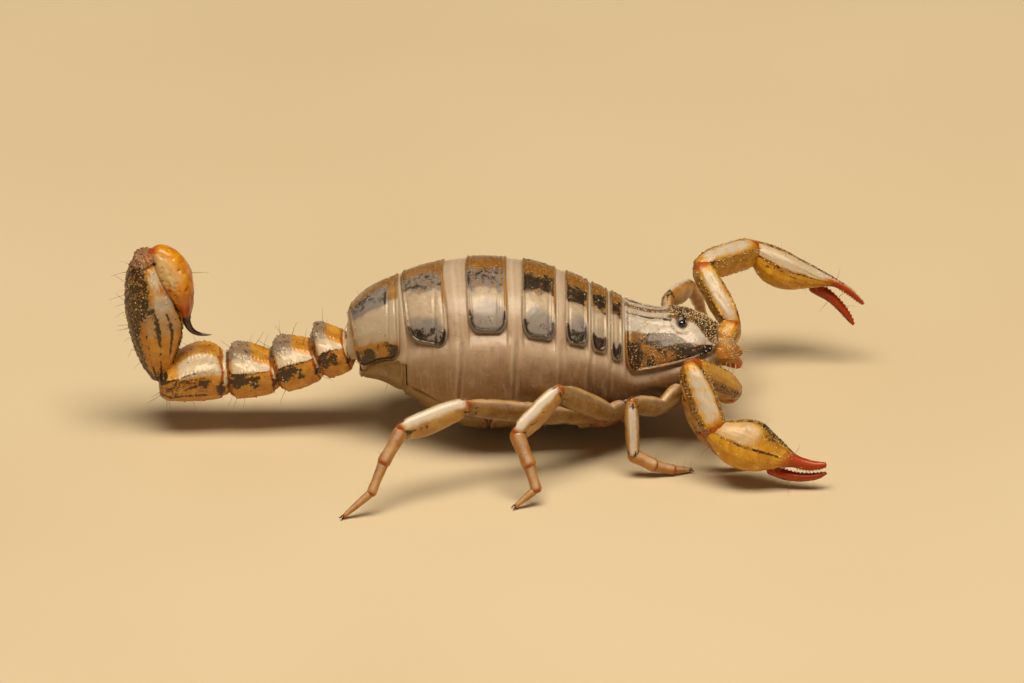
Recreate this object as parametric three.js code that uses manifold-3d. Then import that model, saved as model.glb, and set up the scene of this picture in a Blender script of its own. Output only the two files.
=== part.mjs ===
// A swollen female desert scorpion, life size, standing on its eight feet with its tail held low.
// Millimetres, +Z up, head towards +X, the animal's own left side towards +Y, floor at Z = 0.
import * as THREE from 'three';
import { mergeVertices } from 'three/addons/utils/BufferGeometryUtils.js';
import Module from 'manifold-3d';

const wasm = await Module();
wasm.setup();

// ---------------------------------------------------------------- driving dimensions

const GAP = 0.05; // clearance between neighbouring pieces
const SLACK = 0.035; // how far a cut surface may move when its smallest faces are merged
const PLATE = 0.26; // thickness of the back and belly plates
const UNDERLAP = 0.17; // depth of the skin's bed below the underside of a plate
const FLOOR = 0;

// Trunk: [x, radius, height of the centre, depth below the centre], tail end first.
const TRUNK = [
  [-10.0, 1.7, 5.75, 1.65],
  [-9.2, 2.4, 6.35, 2.4],
  [-7.9, 3.2, 6.7, 3.2],
  [-5.5, 4.4, 6.42, 4.4],
  [-2.9, 5.3, 5.95, 5.3],
  [0.6, 5.3, 5.82, 5.2],
  [3.5, 4.88, 5.38, 4.55],
  [6.0, 4.2, 4.9, 3.55],
  [7.9, 3.58, 4.68, 2.9],
  [10.5, 3.06, 4.72, 2.7],
  [11.7, 2.8, 4.83, 2.5],
  [12.9, 2.05, 4.95, 1.9],
];

// Back plates: [rear x, front x, half angle in degrees that the plate wraps], first to seventh.
const TERGITES = [
  [6.1, 6.9, 66],
  [4.9, 6.0, 61],
  [3.3, 4.8, 59],
  [0.6, 2.75, 59],
  [-2.9, -0.3, 57],
  [-6.95, -4.4, 71],
  [-9.75, -7.05, 92],
];

// Belly plates, third to seventh: [rear x, front x, half angle].
const STERNITES = [
  [1.35, 3.7, 50],
  [-1.35, 1.15, 52],
  [-4.05, -1.55, 54],
  [-6.75, -4.25, 60],
  [-9.6, -6.95, 60],
];

// Soft body: where it starts and ends inside the plates, tail end to waist and waist to mouth.
const ABDOMEN_RUN = { from: -9.68, to: 6.88, steps: 10 };
const PROSOMA_RUN = { from: 6.98, to: 12.84, steps: 4 };
const BELLY_WRAP = 78; // half angle of the bed that the skin leaves for the belly plates
const EDGE = 4; // degrees between a plate's edge and the foot of the skin's step beside it
const STEP = 6; // degrees over which the skin rises from under a plate
const FLANK = 8; // least width in degrees of the bare skin between the back and belly beds

const CARAPACE = { rear: 7.02, front: 12.9 };
// How far the carapace wraps down each flank: [x, half angle].
const CARAPACE_WRAP = [
  [7.0, 78],
  [10.0, 71],
  [12.0, 62],
  [12.9, 52],
];
const EYE_HILL = { x: 10.35, height: 0.3, length: 1.0, width: 0.95 };
const MEDIAN_EYE = { x: 10.5, y: 0.72, radius: 0.27, above: -0.02 };

// Tail joints along the midline: [x, z]. The first five segments run between them.
const TAIL_JOINTS = [
  [-10.15, 5.7],
  [-12.0, 5.05],
  [-14.6, 4.15],
  [-17.6, 3.78],
  [-21.95, 3.72],
  [-23.0, 11.95],
];
const TAIL_HALF = [
  { width: 1.72, height: 1.55 },
  { width: 1.8, height: 1.6 },
  { width: 1.84, height: 1.6 },
  { width: 1.88, height: 1.66 },
];
// Shape of one of the first four segments: [place along it, share of its full size].
const TAIL_SWELL = [
  [0, 0.72],
  [0.14, 0.9],
  [0.45, 1],
  [0.8, 1],
  [1, 0.86],
];
const TAIL_GAP = 0.04; // clearance at each end of a segment
const TAIL_SQUARE = 0.86; // the keels on its edges make the tail's section a little square
// Fifth segment: [place along it, half width, above the line, below the line].
const TAIL_FIFTH = [
  [0, 1.0, 0.75, 0.62],
  [0.12, 1.35, 1.0, 0.9],
  [0.28, 1.66, 1.62, 1.22],
  [0.45, 1.74, 2.0, 1.34],
  [0.6, 1.68, 1.72, 1.32],
  [0.8, 1.5, 1.12, 1.1],
  [0.92, 1.25, 0.7, 0.72],
  [1, 1.05, 0.6, 0.45],
];

// Venom bulb and sting: [x, z, half width, half depth] down the folded telson.
const BULB = [
  [-22.5, 12.08, 0.45, 0.42],
  [-22.0, 12.0, 0.85, 0.74],
  [-21.45, 11.4, 1.2, 0.98],
  [-20.98, 10.45, 1.32, 1.06],
  [-20.7, 9.5, 1.26, 0.9],
  [-20.5, 8.6, 0.9, 0.62],
  [-20.42, 7.75, 0.42, 0.34],
];
const STING = [
  [-20.4, 7.66, 0.34, 0.31],
  [-20.25, 7.15, 0.27, 0.27],
  [-20.0, 6.72, 0.26, 0.25],
  [-19.6, 6.42, 0.25, 0.25],
  [-18.85, 6.28, 0.25, 0.25],
];

// Legs: the joints of each, from the body to the claws, as [x, distance from the midline, z].
// half: half thickness of trochanter, femur, patella, tibia, basitarsus and telotarsus.
const LEGS = {
  leg_1_right: {
    side: -1,
    joints: [
      [11.5, 2.5, 3.6], [11.5, 3.35, 3.7], [10.9, 5.6, 4.9], [11.8, 6.0, 2.6],
      [12.9, 6.2, 1.5], [14.0, 6.1, 0.75], [15.2, 5.8, 0.2],
    ],
    half: [0.52, 0.52, 0.5, 0.4, 0.32, 0.26],
  },
  leg_2_right: {
    side: -1,
    joints: [
      [10.5, 2.7, 4.1], [9.3, 4.2, 3.45], [7.4, 6.0, 4.6], [7.55, 6.9, 1.5],
      [8.85, 6.9, 0.78], [10.0, 6.7, 0.38], [11.1, 6.4, 0.2],
    ],
    half: [0.58, 0.6, 0.54, 0.42, 0.34, 0.26],
  },
  leg_3_right: {
    side: -1,
    joints: [
      [6.9, 3.6, 3.1], [6.0, 5.0, 3.45], [2.9, 7.3, 6.15], [0.3, 9.3, 4.2],
      [1.05, 10.2, 2.55], [1.5, 10.8, 1.15], [0.2, 11.3, 0.2],
    ],
    half: [0.62, 0.72, 0.75, 0.52, 0.4, 0.28],
  },
  leg_4_right: {
    side: -1,
    joints: [
      [5.3, 3.9, 2.8], [3.5, 5.5, 3.5], [-2.9, 8.65, 5.8], [-6.85, 10.4, 5.0],
      [-7.95, 11.3, 3.3], [-8.7, 12.1, 1.6], [-10.45, 12.6, 0.16],
    ],
    half: [0.62, 0.68, 0.8, 0.47, 0.35, 0.28],
  },
  leg_1_left: {
    side: 1,
    joints: [
      [11.5, 2.5, 3.6], [11.5, 3.35, 3.7], [11.1, 5.5, 4.9], [11.8, 7.5, 3.6],
      [12.6, 8.3, 2.1], [13.3, 8.6, 0.9], [14.3, 8.4, 0.16],
    ],
    half: [0.52, 0.52, 0.5, 0.4, 0.32, 0.26],
  },
  leg_2_left: {
    side: 1,
    joints: [
      [10.5, 2.7, 4.1], [9.7, 3.9, 4.1], [9.8, 6.7, 5.5], [11.2, 9.3, 5.05],
      [11.75, 10.6, 3.4], [12.1, 11.3, 1.8], [12.5, 12.0, 0.06],
    ],
    half: [0.58, 0.6, 0.54, 0.42, 0.34, 0.26],
  },
  leg_3_left: {
    side: 1,
    joints: [
      [6.9, 3.6, 3.1], [6.2, 5.0, 3.5], [3.6, 7.7, 5.9], [1.3, 9.6, 4.1],
      [1.8, 10.6, 2.6], [2.1, 11.2, 1.2], [0.9, 12.0, 0.2],
    ],
    half: [0.62, 0.72, 0.75, 0.52, 0.4, 0.28],
  },
  leg_4_left: {
    side: 1,
    joints: [
      [5.3, 3.9, 2.8], [3.6, 5.5, 3.4], [-2.2, 8.4, 5.5], [-5.7, 10.4, 4.4],
      [-6.7, 11.5, 2.9], [-7.5, 12.3, 1.5], [-9.2, 12.9, 0.16],
    ],
    half: [0.62, 0.68, 0.8, 0.47, 0.35, 0.28],
  },
};
// Leg pieces: [place along the piece, share of its half thickness].
const LEG_SWELL = [
  [0, 0.72],
  [0.2, 0.95],
  [0.5, 1],
  [0.8, 0.92],
  [1, 0.74],
];
const SLIM_SWELL = [
  [0, 1],
  [1, 0.94],
];
const LEG_FLATNESS = 0.76; // legs are thinner across than they are deep
const LEG_SIDES = [8, 8, 6, 6, 6, 6]; // faces round each piece
const LEG_STEPS = [2, 3, 3, 1, 1, 1]; // rings of faces along each piece
const KNEE = 2; // joint between the femur and the patella, where the two nodes of a leg meet
const FIRST_SLIM = 3; // tibia and tarsus are slim and nearly even in thickness

// Pedipalps: joints from the body to the claw, and the run of both fingers.
const PEDIPALPS = {
  pedipalp_right: {
    coxa: [12.6, -1.7, 3.6],
    shoulder: [13.85, -3.2, 4.15],
    elbow: [11.05, -5.95, 7.05],
    wrist: [12.62, -7.72, 3.6],
    palm: [16.75, -8.4, 2.35],
    fixedFinger: [[16.3, -8.38, 2.75], [17.6, -8.55, 2.45], [18.7, -8.7, 1.95], [19.5, -8.78, 1.5]],
    movingFinger: [[16.1, -8.3, 1.4], [17.4, -8.5, 1.22], [18.6, -8.7, 1.0], [19.5, -8.82, 0.98]],
    deep: [0, 0.45, 0.89],
    forearmDeep: [0.7, 0, 0.7],
  },
  pedipalp_left: {
    coxa: [12.6, 1.7, 3.6],
    shoulder: [14.2, 3.3, 4.7],
    elbow: [11.85, 6.5, 7.85],
    wrist: [15.3, 9.5, 7.5],
    palm: [19.6, 8.75, 5.85],
    fixedFinger: [[19.1, 8.8, 6.1], [20.3, 8.5, 5.75], [21.3, 8.3, 5.2], [22.1, 8.1, 4.5]],
    movingFinger: [[19.0, 8.95, 5.2], [20.0, 8.75, 4.65], [20.8, 8.5, 3.9], [21.5, 8.2, 3.0]],
    deep: [0.2, 0.89, 0.35],
    forearmDeep: [0, 0.3, 0.95],
  },
};
const ARM = { trochanter: 0.88, femur: 1.0, patella: 1.02, flatness: 0.9 };
const PALM = { deep: 1.46, across: 1.1 };
const ARM_SWELL = [
  [0, 0.66],
  [0.15, 0.9],
  [0.45, 1],
  [0.8, 0.95],
  [1, 0.68],
];
const PALM_SWELL = [
  [0, 0.5],
  [0.12, 0.74],
  [0.35, 0.98],
  [0.6, 1],
  [0.85, 0.8],
  [1, 0.52],
];
const FINGER_FLATNESS = 0.9;
const FINGER_HALF = [
  [0, 0.46],
  [0.35, 0.38],
  [0.75, 0.32],
  [1, 0.27],
];

const CHELICERA = {
  rear: 12.98,
  wrist: 14.08,
  front: 14.75,
  y: 0.72,
  z: 5.55,
  width: 0.62,
  height: 0.68,
  swell: [[0, 0.82], [0.5, 1], [1, 0.72]],
  finger: 0.27,
  fingerSwell: [[0, 1], [1, 0.7]],
};
const JAW_ROOM = { x: 13.9, z: 5.5, size: [3, 3.2, 1.9] }; // space the pedipalps leave for the jaws
const PECTEN = {
  rootX: 5.75,
  rootY: 0.5,
  tipX: 4.9,
  tipY: 3.25,
  thick: 0.5,
  teeth: 6,
  tooth: 0.62,
  firstTooth: 0.12,
  lastTooth: 0.92,
  toothSwell: [[0, 1], [1, 0.8]],
};

// ---------------------------------------------------------------- finishes

const shell = (color, roughness) => new THREE.MeshStandardMaterial({ color, roughness, metalness: 0 });
const TERGITE_BROWN = shell(0x6b4526, 0.35);
const CARAPACE_BROWN = shell(0x7a4e28, 0.4);
const MEMBRANE_GREY = shell(0x8f7a6b, 0.45);
const BELLY_TAN = shell(0x9a7a50, 0.45);
const TAIL_AMBER = shell(0x9c6a2c, 0.35);
const BULB_AMBER = shell(0xc47a22, 0.3);
const STING_BLACK = shell(0x2a0f08, 0.25);
const LEG_TAN = shell(0xb09a72, 0.4);
const PALM_YELLOW = shell(0xb98535, 0.3);
const FINGER_RED = shell(0x8e2a12, 0.3);
const EYE_BLACK = shell(0x080808, 0.08);
const JAW_ORANGE = shell(0xb5651d, 0.35);
const COMB_AMBER = shell(0xb08a4a, 0.45);

// ---------------------------------------------------------------- shape helpers

const UP = new THREE.Vector3(0, 0, 1);
const radians = THREE.MathUtils.degToRad;
const point = (values) => new THREE.Vector3(...values);

/** The values of a table of stations at a place, on a smooth line through them. */
function follow(stations, at) {
  const last = stations.length - 1;
  const place = THREE.MathUtils.clamp(at, stations[0][0], stations[last][0]);
  let i = 0;
  while (i < last - 1 && place > stations[i + 1][0]) i += 1;
  const [a, b] = [stations[i], stations[i + 1]];
  const span = b[0] - a[0];
  const t = (place - a[0]) / span;
  const slope = (k, column) => {
    const before = stations[Math.max(k - 1, 0)];
    const after = stations[Math.min(k + 1, last)];
    return (after[column] - before[column]) / (after[0] - before[0]);
  };
  return a.slice(1).map((_, n) => {
    const column = n + 1;
    const h = t * t * (3 - 2 * t);
    const rise = t * (1 - t) * (1 - t) * span * slope(i, column);
    const fall = t * t * (1 - t) * span * slope(i + 1, column);
    return a[column] * (1 - h) + b[column] * h + rise - fall;
  });
}

/** Moves every corner of a geometry by a rule and keeps positions only. */
function remap(geometry, rule) {
  geometry.deleteAttribute('normal');
  geometry.deleteAttribute('uv');
  const merged = mergeVertices(geometry, 1e-5);
  const position = merged.attributes.position;
  const corner = new THREE.Vector3();
  for (let i = 0; i < position.count; i += 1) {
    corner.fromBufferAttribute(position, i);
    const moved = rule(corner);
    position.setXYZ(i, moved.x, moved.y, moved.z);
  }
  return merged;
}

/** A closed round body: rule(t, angle, radius) places each corner, with radius 0 on the end caps. */
function roundBody(sides, steps, rule) {
  return remap(new THREE.CylinderGeometry(1, 1, 1, sides, steps), (corner) => {
    const radius = Math.min(1, Math.hypot(corner.x, corner.z));
    return rule(corner.y + 0.5, Math.atan2(corner.x, corner.z), radius);
  });
}

/** A sine or cosine that fills out the corners of a round section where the power is under 1. */
const squared = (value, power) => Math.sign(value) * Math.abs(value) ** power;

/** A body along a line of centres: halves(t) gives its half width and its depths above and below. */
function bodyAlong(centre, up, halves, { sides = 10, steps = 4, square = 1 } = {}) {
  const ahead = (t) => centre(Math.min(t + 0.01, 1)).sub(centre(Math.max(t - 0.01, 0))).normalize();
  return roundBody(sides, steps, (t, angle, radius) => {
    const along = ahead(t);
    const across = new THREE.Vector3().crossVectors(up, along).normalize();
    const above = new THREE.Vector3().crossVectors(along, across);
    const [width, high, low] = halves(t);
    const rise = squared(Math.sin(angle), square) * radius;
    return centre(t)
      .addScaledVector(across, squared(Math.cos(angle), square) * radius * width)
      .addScaledVector(above, rise * (rise > 0 ? high : low));
  });
}

const straight = (from, to) => (t) => point(from).lerp(point(to), t);

const REACH = 0.12; // how far a limb piece runs on past its joints to meet its neighbours
const TIP_REACH = 0.02;

/** A straight limb piece with a swollen middle. */
function limb(from, to, up, half, swell, { grow = 0, flatness = 1, reach = REACH, ...mesh } = {}) {
  const along = point(to).sub(point(from)).normalize();
  const start = point(from).addScaledVector(along, -reach - grow);
  const end = point(to).addScaledVector(along, reach + grow);
  const halves = (t) => {
    const [share] = follow(swell, t);
    const deep = half * share + grow;
    return [half * flatness * share + grow, deep, deep];
  };
  return bodyAlong((t) => start.clone().lerp(end, t), up, halves, mesh);
}

const toSolid = (geometry) => new wasm.Manifold(new wasm.Mesh({
  numProp: 3,
  vertProperties: geometry.attributes.position.array,
  triVerts: Uint32Array.from(geometry.index.array),
}));

/** A geometry of the largest body of a solid, without the crumbs that a cut can leave. */
function toGeometry(solid, slack = SLACK) {
  const [largest] = solid.simplify(slack).decompose().sort((a, b) => b.volume() - a.volume());
  const { vertProperties, triVerts } = largest.getMesh();
  const geometry = new THREE.BufferGeometry();
  geometry.setAttribute('position', new THREE.BufferAttribute(vertProperties, 3));
  geometry.setIndex(new THREE.BufferAttribute(triVerts, 1));
  return geometry;
}

const join = (geometries) => geometries.map(toSolid).reduce((whole, piece) => whole.add(piece));

const animal = new THREE.Group();

/** Adds one named piece to the animal. */
function add(name, geometry, material) {
  const mesh = new THREE.Mesh(geometry, material);
  mesh.name = name;
  animal.add(mesh);
}

// ---------------------------------------------------------------- trunk

/** A place on the trunk, inset from its skin. The angle is 0 on the back and positive to the left. */
function onTrunk(x, angle, inset) {
  const [radius, height, depth] = follow(TRUNK, x);
  const down = Math.cos(angle) > 0 ? radius : depth;
  const y = (radius - inset) * Math.sin(angle);
  return new THREE.Vector3(x, y, height + (down - inset) * Math.cos(angle));
}

const PLATE_WRAP = TERGITES.map(([rear, front, wrap]) => [(rear + front) / 2, wrap]).reverse();

// The skin's corners stand every 15 degrees before they are spread: those at up to 90 degrees lie
// under the back plates, and those from 135 degrees on lie over the belly plates.
const CORE_SIDES = 24;
const BACK_TURN = 91;
const BELLY_TURN = 134;

/** Spreads even angles so that the skin's corners fall on both sides of the plates' edges. */
function spread(angle, wrap, belly) {
  const turn = THREE.MathUtils.radToDeg(Math.abs(angle));
  const shoulder = wrap + EDGE + STEP;
  const bellyEdges = belly > 0 ? [
    [120, Math.max(180 - belly - STEP, shoulder + FLANK)],
    [135, Math.max(180 - belly, shoulder + FLANK + STEP)],
  ] : [];
  const line = [[0, 0], [90, wrap + EDGE], [105, shoulder], ...bellyEdges, [180, 180]];
  const i = line.findIndex(([to]) => turn <= to + 1e-6);
  if (i <= 0) return 0;
  const [[from, low], [to, high]] = [line[i - 1], line[i]];
  const share = (turn - from) / (to - from);
  return Math.sign(angle) * radians(low + (high - low) * share);
}

/** The soft body inside the plates, from one x to another. */
function core({ from, to, steps }, wrapAt, belly, grow = 0) {
  const bed = PLATE + UNDERLAP;
  return roundBody(CORE_SIDES, steps, (t, angle, radius) => {
    const x = from - grow + (to - from + 2 * grow) * t;
    // the ring starts at the left flank; turned so that 0 is on the back
    const around = Math.atan2(Math.cos(angle), Math.sin(angle));
    const wrap = wrapAt(x);
    const turn = Math.abs(THREE.MathUtils.radToDeg(around));
    const covered = turn < BACK_TURN || (belly > 0 && turn > BELLY_TURN);
    const place = onTrunk(x, spread(around, wrap, belly), (covered ? bed : 0) - grow);
    const [, height] = follow(TRUNK, x);
    return new THREE.Vector3(x, 0, height).lerp(place, radius);
  });
}

const CORNER_CUT = 0.12; // share of a plate's length lost at its rounded ends
const CORNER_POWER = 8; // how sharply the ends round off

/** A curved plate lying on the trunk about its back (facing 0) or its belly (facing 180 degrees). */
function plate(rear, front, wrapAt, facing, [alongSteps, acrossSteps], raise = () => 0) {
  const box = new THREE.BoxGeometry(1, 1, 1, alongSteps, acrossSteps, 1);
  return remap(box, (corner) => {
    const corners = 1 - CORNER_CUT * (2 * Math.abs(corner.y)) ** CORNER_POWER;
    const x = (rear + front) / 2 + corner.x * (front - rear) * corners;
    const angle = facing + corner.y * 2 * radians(wrapAt(x));
    const outer = corner.z > 0;
    const place = onTrunk(x, angle, outer ? 0 : PLATE);
    place.z += outer ? raise(x, place.y) : 0;
    return place;
  });
}

const carapaceWrap = (x) => follow(CARAPACE_WRAP, x)[0];
const tergiteWrap = (x) => follow(PLATE_WRAP, x)[0];
const eyeHill = (x, y) => {
  const out = ((x - EYE_HILL.x) / EYE_HILL.length) ** 2 + (y / EYE_HILL.width) ** 2;
  return EYE_HILL.height * Math.exp(-out);
};

const abdomen = (grow) => core(ABDOMEN_RUN, tergiteWrap, BELLY_WRAP, grow);
const prosoma = (grow) => core(PROSOMA_RUN, carapaceWrap, 0, grow);

add('abdomen', abdomen(0), MEMBRANE_GREY);
add('underside', prosoma(0), BELLY_TAN);

TERGITES.forEach(([rear, front, wrap], i) => {
  const steps = [front - rear > 2 ? 3 : 1, 10];
  add(`tergite_${i + 1}`, plate(rear, front, () => wrap, 0, steps), TERGITE_BROWN);
});

STERNITES.forEach(([rear, front, wrap], i) => {
  add(`sternite_${i + 3}`, plate(rear, front, () => wrap, Math.PI, [2, 7]), BELLY_TAN);
});

// ---------------------------------------------------------------- carapace and eyes

/** The centre of a middle eye, set into the flank of its low hill. */
function eyeCentre(side) {
  const back = onTrunk(MEDIAN_EYE.x, Math.asin(MEDIAN_EYE.y / follow(TRUNK, MEDIAN_EYE.x)[0]), 0);
  const z = back.z + eyeHill(MEDIAN_EYE.x, MEDIAN_EYE.y) + MEDIAN_EYE.above;
  return new THREE.Vector3(MEDIAN_EYE.x, side * MEDIAN_EYE.y, z);
}

/** A ball of a centre, a radius and its counts of faces. */
function ball(centre, radius, [around, down]) {
  return remap(new THREE.SphereGeometry(radius, around, down), (corner) => corner.clone().add(centre));
}

const { rear: carapaceRear, front: carapaceFront } = CARAPACE;
const carapaceBlank = plate(carapaceRear, carapaceFront, carapaceWrap, 0, [7, 10], eyeHill);
let carapace = toSolid(carapaceBlank);
for (const [name, side] of [['eye_median_left', 1], ['eye_median_right', -1]]) {
  const centre = eyeCentre(side);
  carapace = carapace.subtract(toSolid(ball(centre, MEDIAN_EYE.radius + GAP, [8, 4])));
  add(name, ball(centre, MEDIAN_EYE.radius, [10, 5]), EYE_BLACK);
}
add('carapace', toGeometry(carapace), CARAPACE_BROWN);

// ---------------------------------------------------------------- chelicerae

/** One jaw: a short hand with an upper and a lower finger that hook down side by side. */
function chelicera(side) {
  const { rear, wrist, front, y, z, width, height, swell, finger: half, fingerSwell } = CHELICERA;
  const handMesh = { flatness: width / height, sides: 8, steps: 2 };
  const hand = limb([rear + 0.12, side * y, z + 0.1], [wrist, side * y, z], UP, height, swell, handMesh);
  const fingers = [-1, 1].map((outer) => {
    const root = [wrist - 0.1, side * (y + 0.16 * outer), z - 0.12 + 0.1 * outer];
    const tip = [front - 0.12, side * (y + 0.08 * outer), z - 0.42 + 0.16 * outer];
    return limb(root, tip, UP, half, fingerSwell, { sides: 5, steps: 1 });
  });
  return toGeometry(join([hand, ...fingers]));
}

add('chelicera_left', chelicera(1), JAW_ORANGE);
add('chelicera_right', chelicera(-1), JAW_ORANGE);

// ---------------------------------------------------------------- combs under the belly

/** One comb: a spine along the belly with a row of teeth behind it. */
function pecten(side) {
  const { rootX, rootY, tipX, tipY, thick, teeth, tooth, firstTooth, lastTooth, toothSwell } = PECTEN;
  const under = (share, off = 0) => {
    const x = rootX + (tipX - rootX) * share - off;
    const y = rootY + (tipY - rootY) * share;
    const [radius, height, depth] = follow(TRUNK, x);
    return [x, side * y, height - depth * Math.sqrt(1 - (y / radius) ** 2) - thick / 2 - 3 * GAP];
  };
  const halves = () => [thick / 2, thick / 2, thick / 2];
  const spine = bodyAlong((t) => point(under(t)), UP, halves, { sides: 5, steps: 2 });
  const toothMesh = { sides: 4, steps: 1, reach: 0, flatness: 0.8 };
  const combs = Array.from({ length: teeth }, (_, i) => {
    const share = firstTooth + (lastTooth - firstTooth) * (i / (teeth - 1));
    return limb(under(share), under(share, tooth), UP, thick / 2, toothSwell, toothMesh);
  });
  return join([spine, ...combs]);
}

add('pecten_left', toGeometry(pecten(1)), COMB_AMBER);
add('pecten_right', toGeometry(pecten(-1)), COMB_AMBER);

// ---------------------------------------------------------------- tail

const tailPoint = ([x, z]) => [x, 0, z];

/** One of the first four segments, a short barrel between two joints. */
function tailSegment(i, grow = 0) {
  const [from, to] = [TAIL_JOINTS[i], TAIL_JOINTS[i + 1]].map(tailPoint);
  const along = point(to).sub(point(from)).normalize();
  const start = point(from).addScaledVector(along, TAIL_GAP - grow);
  const end = point(to).addScaledVector(along, -TAIL_GAP + grow);
  const { width, height } = TAIL_HALF[i];
  const halves = (t) => {
    const [share] = follow(TAIL_SWELL, t);
    return [width * share + grow, height * share + grow, height * share + grow];
  };
  const mesh = { sides: 12, steps: 5, square: TAIL_SQUARE };
  return bodyAlong((t) => start.clone().lerp(end, t), UP, halves, mesh);
}

add('tail_1', toGeometry(toSolid(tailSegment(0))), TAIL_AMBER);
for (let i = 1; i < TAIL_HALF.length; i += 1) {
  const room = toSolid(tailSegment(i - 1, GAP));
  add(`tail_${i + 1}`, toGeometry(toSolid(tailSegment(i)).subtract(room)), TAIL_AMBER);
}

/** The fifth segment stands upright: what faces the bulb is its own back. */
function fifthSegment(grow = 0) {
  const [from, to] = [TAIL_JOINTS[4], TAIL_JOINTS[5]].map(tailPoint);
  const facing = new THREE.Vector3(1, 0, 0);
  const halves = (t) => follow(TAIL_FIFTH, t).map((half) => half + grow);
  return bodyAlong(straight(from, to), facing, halves, { sides: 12, steps: 8, square: TAIL_SQUARE });
}

const fourthRoom = toSolid(tailSegment(3, GAP));
add('tail_5', toGeometry(toSolid(fifthSegment()).subtract(fourthRoom)), TAIL_AMBER);

const TELSON_FACING = new THREE.Vector3(1, 0, 0.6); // the bulb's back faces forwards and up

/** A body whose line of centres lies in the midline plane, from stations of x, z and two half sizes. */
function midlineBody(stations, sides, steps, grow = 0) {
  const line = stations.map((station, i) => [i / (stations.length - 1), ...station]);
  const centre = (t) => {
    const [x, z] = follow(line, t);
    return new THREE.Vector3(x, 0, z);
  };
  const halves = (t) => {
    const [, , width, depth] = follow(line, t);
    return [width + grow, depth + grow, depth + grow];
  };
  return bodyAlong(centre, TELSON_FACING, halves, { sides, steps });
}

const fifthRoom = toSolid(fifthSegment(GAP));
add('telson', toGeometry(toSolid(midlineBody(BULB, 10, 8)).subtract(fifthRoom)), BULB_AMBER);
add('sting', toGeometry(toSolid(midlineBody(STING, 6, 6)).subtract(fifthRoom)), STING_BLACK);

// ---------------------------------------------------------------- legs

const carapaceRoom = plate(
  carapaceRear - GAP,
  carapaceFront + GAP,
  (x) => carapaceWrap(x) + 1,
  0,
  [9, 14],
);
const trunkRoom = join([abdomen(GAP), prosoma(GAP), carapaceRoom]);
const clearOfTrunk = (solid) => solid.subtract(trunkRoom);

/** A solid block from three sizes and the place of its centre. */
function block(size, centre) {
  return toSolid(remap(new THREE.BoxGeometry(...size), (corner) => corner.clone().add(centre)));
}

const ROOM_ABOVE = [80, 60, 30]; // larger than the animal each way
const aboveFloor = block(ROOM_ABOVE, new THREE.Vector3(0, 0, FLOOR + ROOM_ABOVE[2] / 2));

/** One straight piece of a leg, between joint n and the next. */
function legPiece({ side, joints, half }, n, grow = 0) {
  const [from, to] = [joints[n], joints[n + 1]].map(([x, out, z]) => [x, side * out, z]);
  const isTip = n === joints.length - 2;
  const slim = n >= FIRST_SLIM;
  const size = {
    grow,
    flatness: slim ? 1 : LEG_FLATNESS,
    reach: isTip ? TIP_REACH : REACH,
    sides: LEG_SIDES[n],
    steps: LEG_STEPS[n],
  };
  return limb(from, to, UP, half[n], slim ? SLIM_SWELL : LEG_SWELL, size);
}

/** The union of pieces first to last of a leg. */
function legRun(leg, first, last, grow = 0) {
  const pieces = [];
  for (let n = first; n <= last; n += 1) pieces.push(legPiece(leg, n, grow));
  return join(pieces);
}

for (const [name, leg] of Object.entries(LEGS)) {
  const upper = clearOfTrunk(legRun(leg, 0, KNEE - 1));
  const kneeRoom = legRun(leg, 1, KNEE - 1, GAP);
  const lower = legRun(leg, KNEE, leg.half.length - 1).subtract(kneeRoom).simplify(SLACK);
  add(`${name}_upper`, toGeometry(upper), LEG_TAN);
  add(`${name}_lower`, toGeometry(lower.intersect(aboveFloor), 0), LEG_TAN);
}

// ---------------------------------------------------------------- pedipalps

/** A claw finger along its run of four points. */
function finger(points, grow = 0) {
  const line = new THREE.CatmullRomCurve3(points.map(point));
  const halves = (t) => {
    const [half] = follow(FINGER_HALF, t);
    return [half * FINGER_FLATNESS + grow, half + grow, half + grow];
  };
  return bodyAlong((t) => line.getPoint(t), UP, halves, { sides: 6, steps: 5 });
}

/** The swollen hand of a pedipalp, from its wrist to the root of its fingers. */
function palm({ wrist, palm: end, deep }, grow = 0) {
  const along = point(end).sub(point(wrist)).normalize();
  const start = point(wrist).addScaledVector(along, -grow);
  const stop = point(end).addScaledVector(along, grow);
  const halves = (t) => {
    const [share] = follow(PALM_SWELL, t);
    return [PALM.across * share + grow, PALM.deep * share + grow, PALM.deep * share + grow];
  };
  const mesh = { sides: 10, steps: 6 };
  return bodyAlong((t) => start.clone().lerp(stop, t), point(deep), halves, mesh);
}

const jawRoom = block(JAW_ROOM.size, new THREE.Vector3(JAW_ROOM.x, 0, JAW_ROOM.z));
const ARM_MESH = { sides: 10, steps: 4 };

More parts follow.
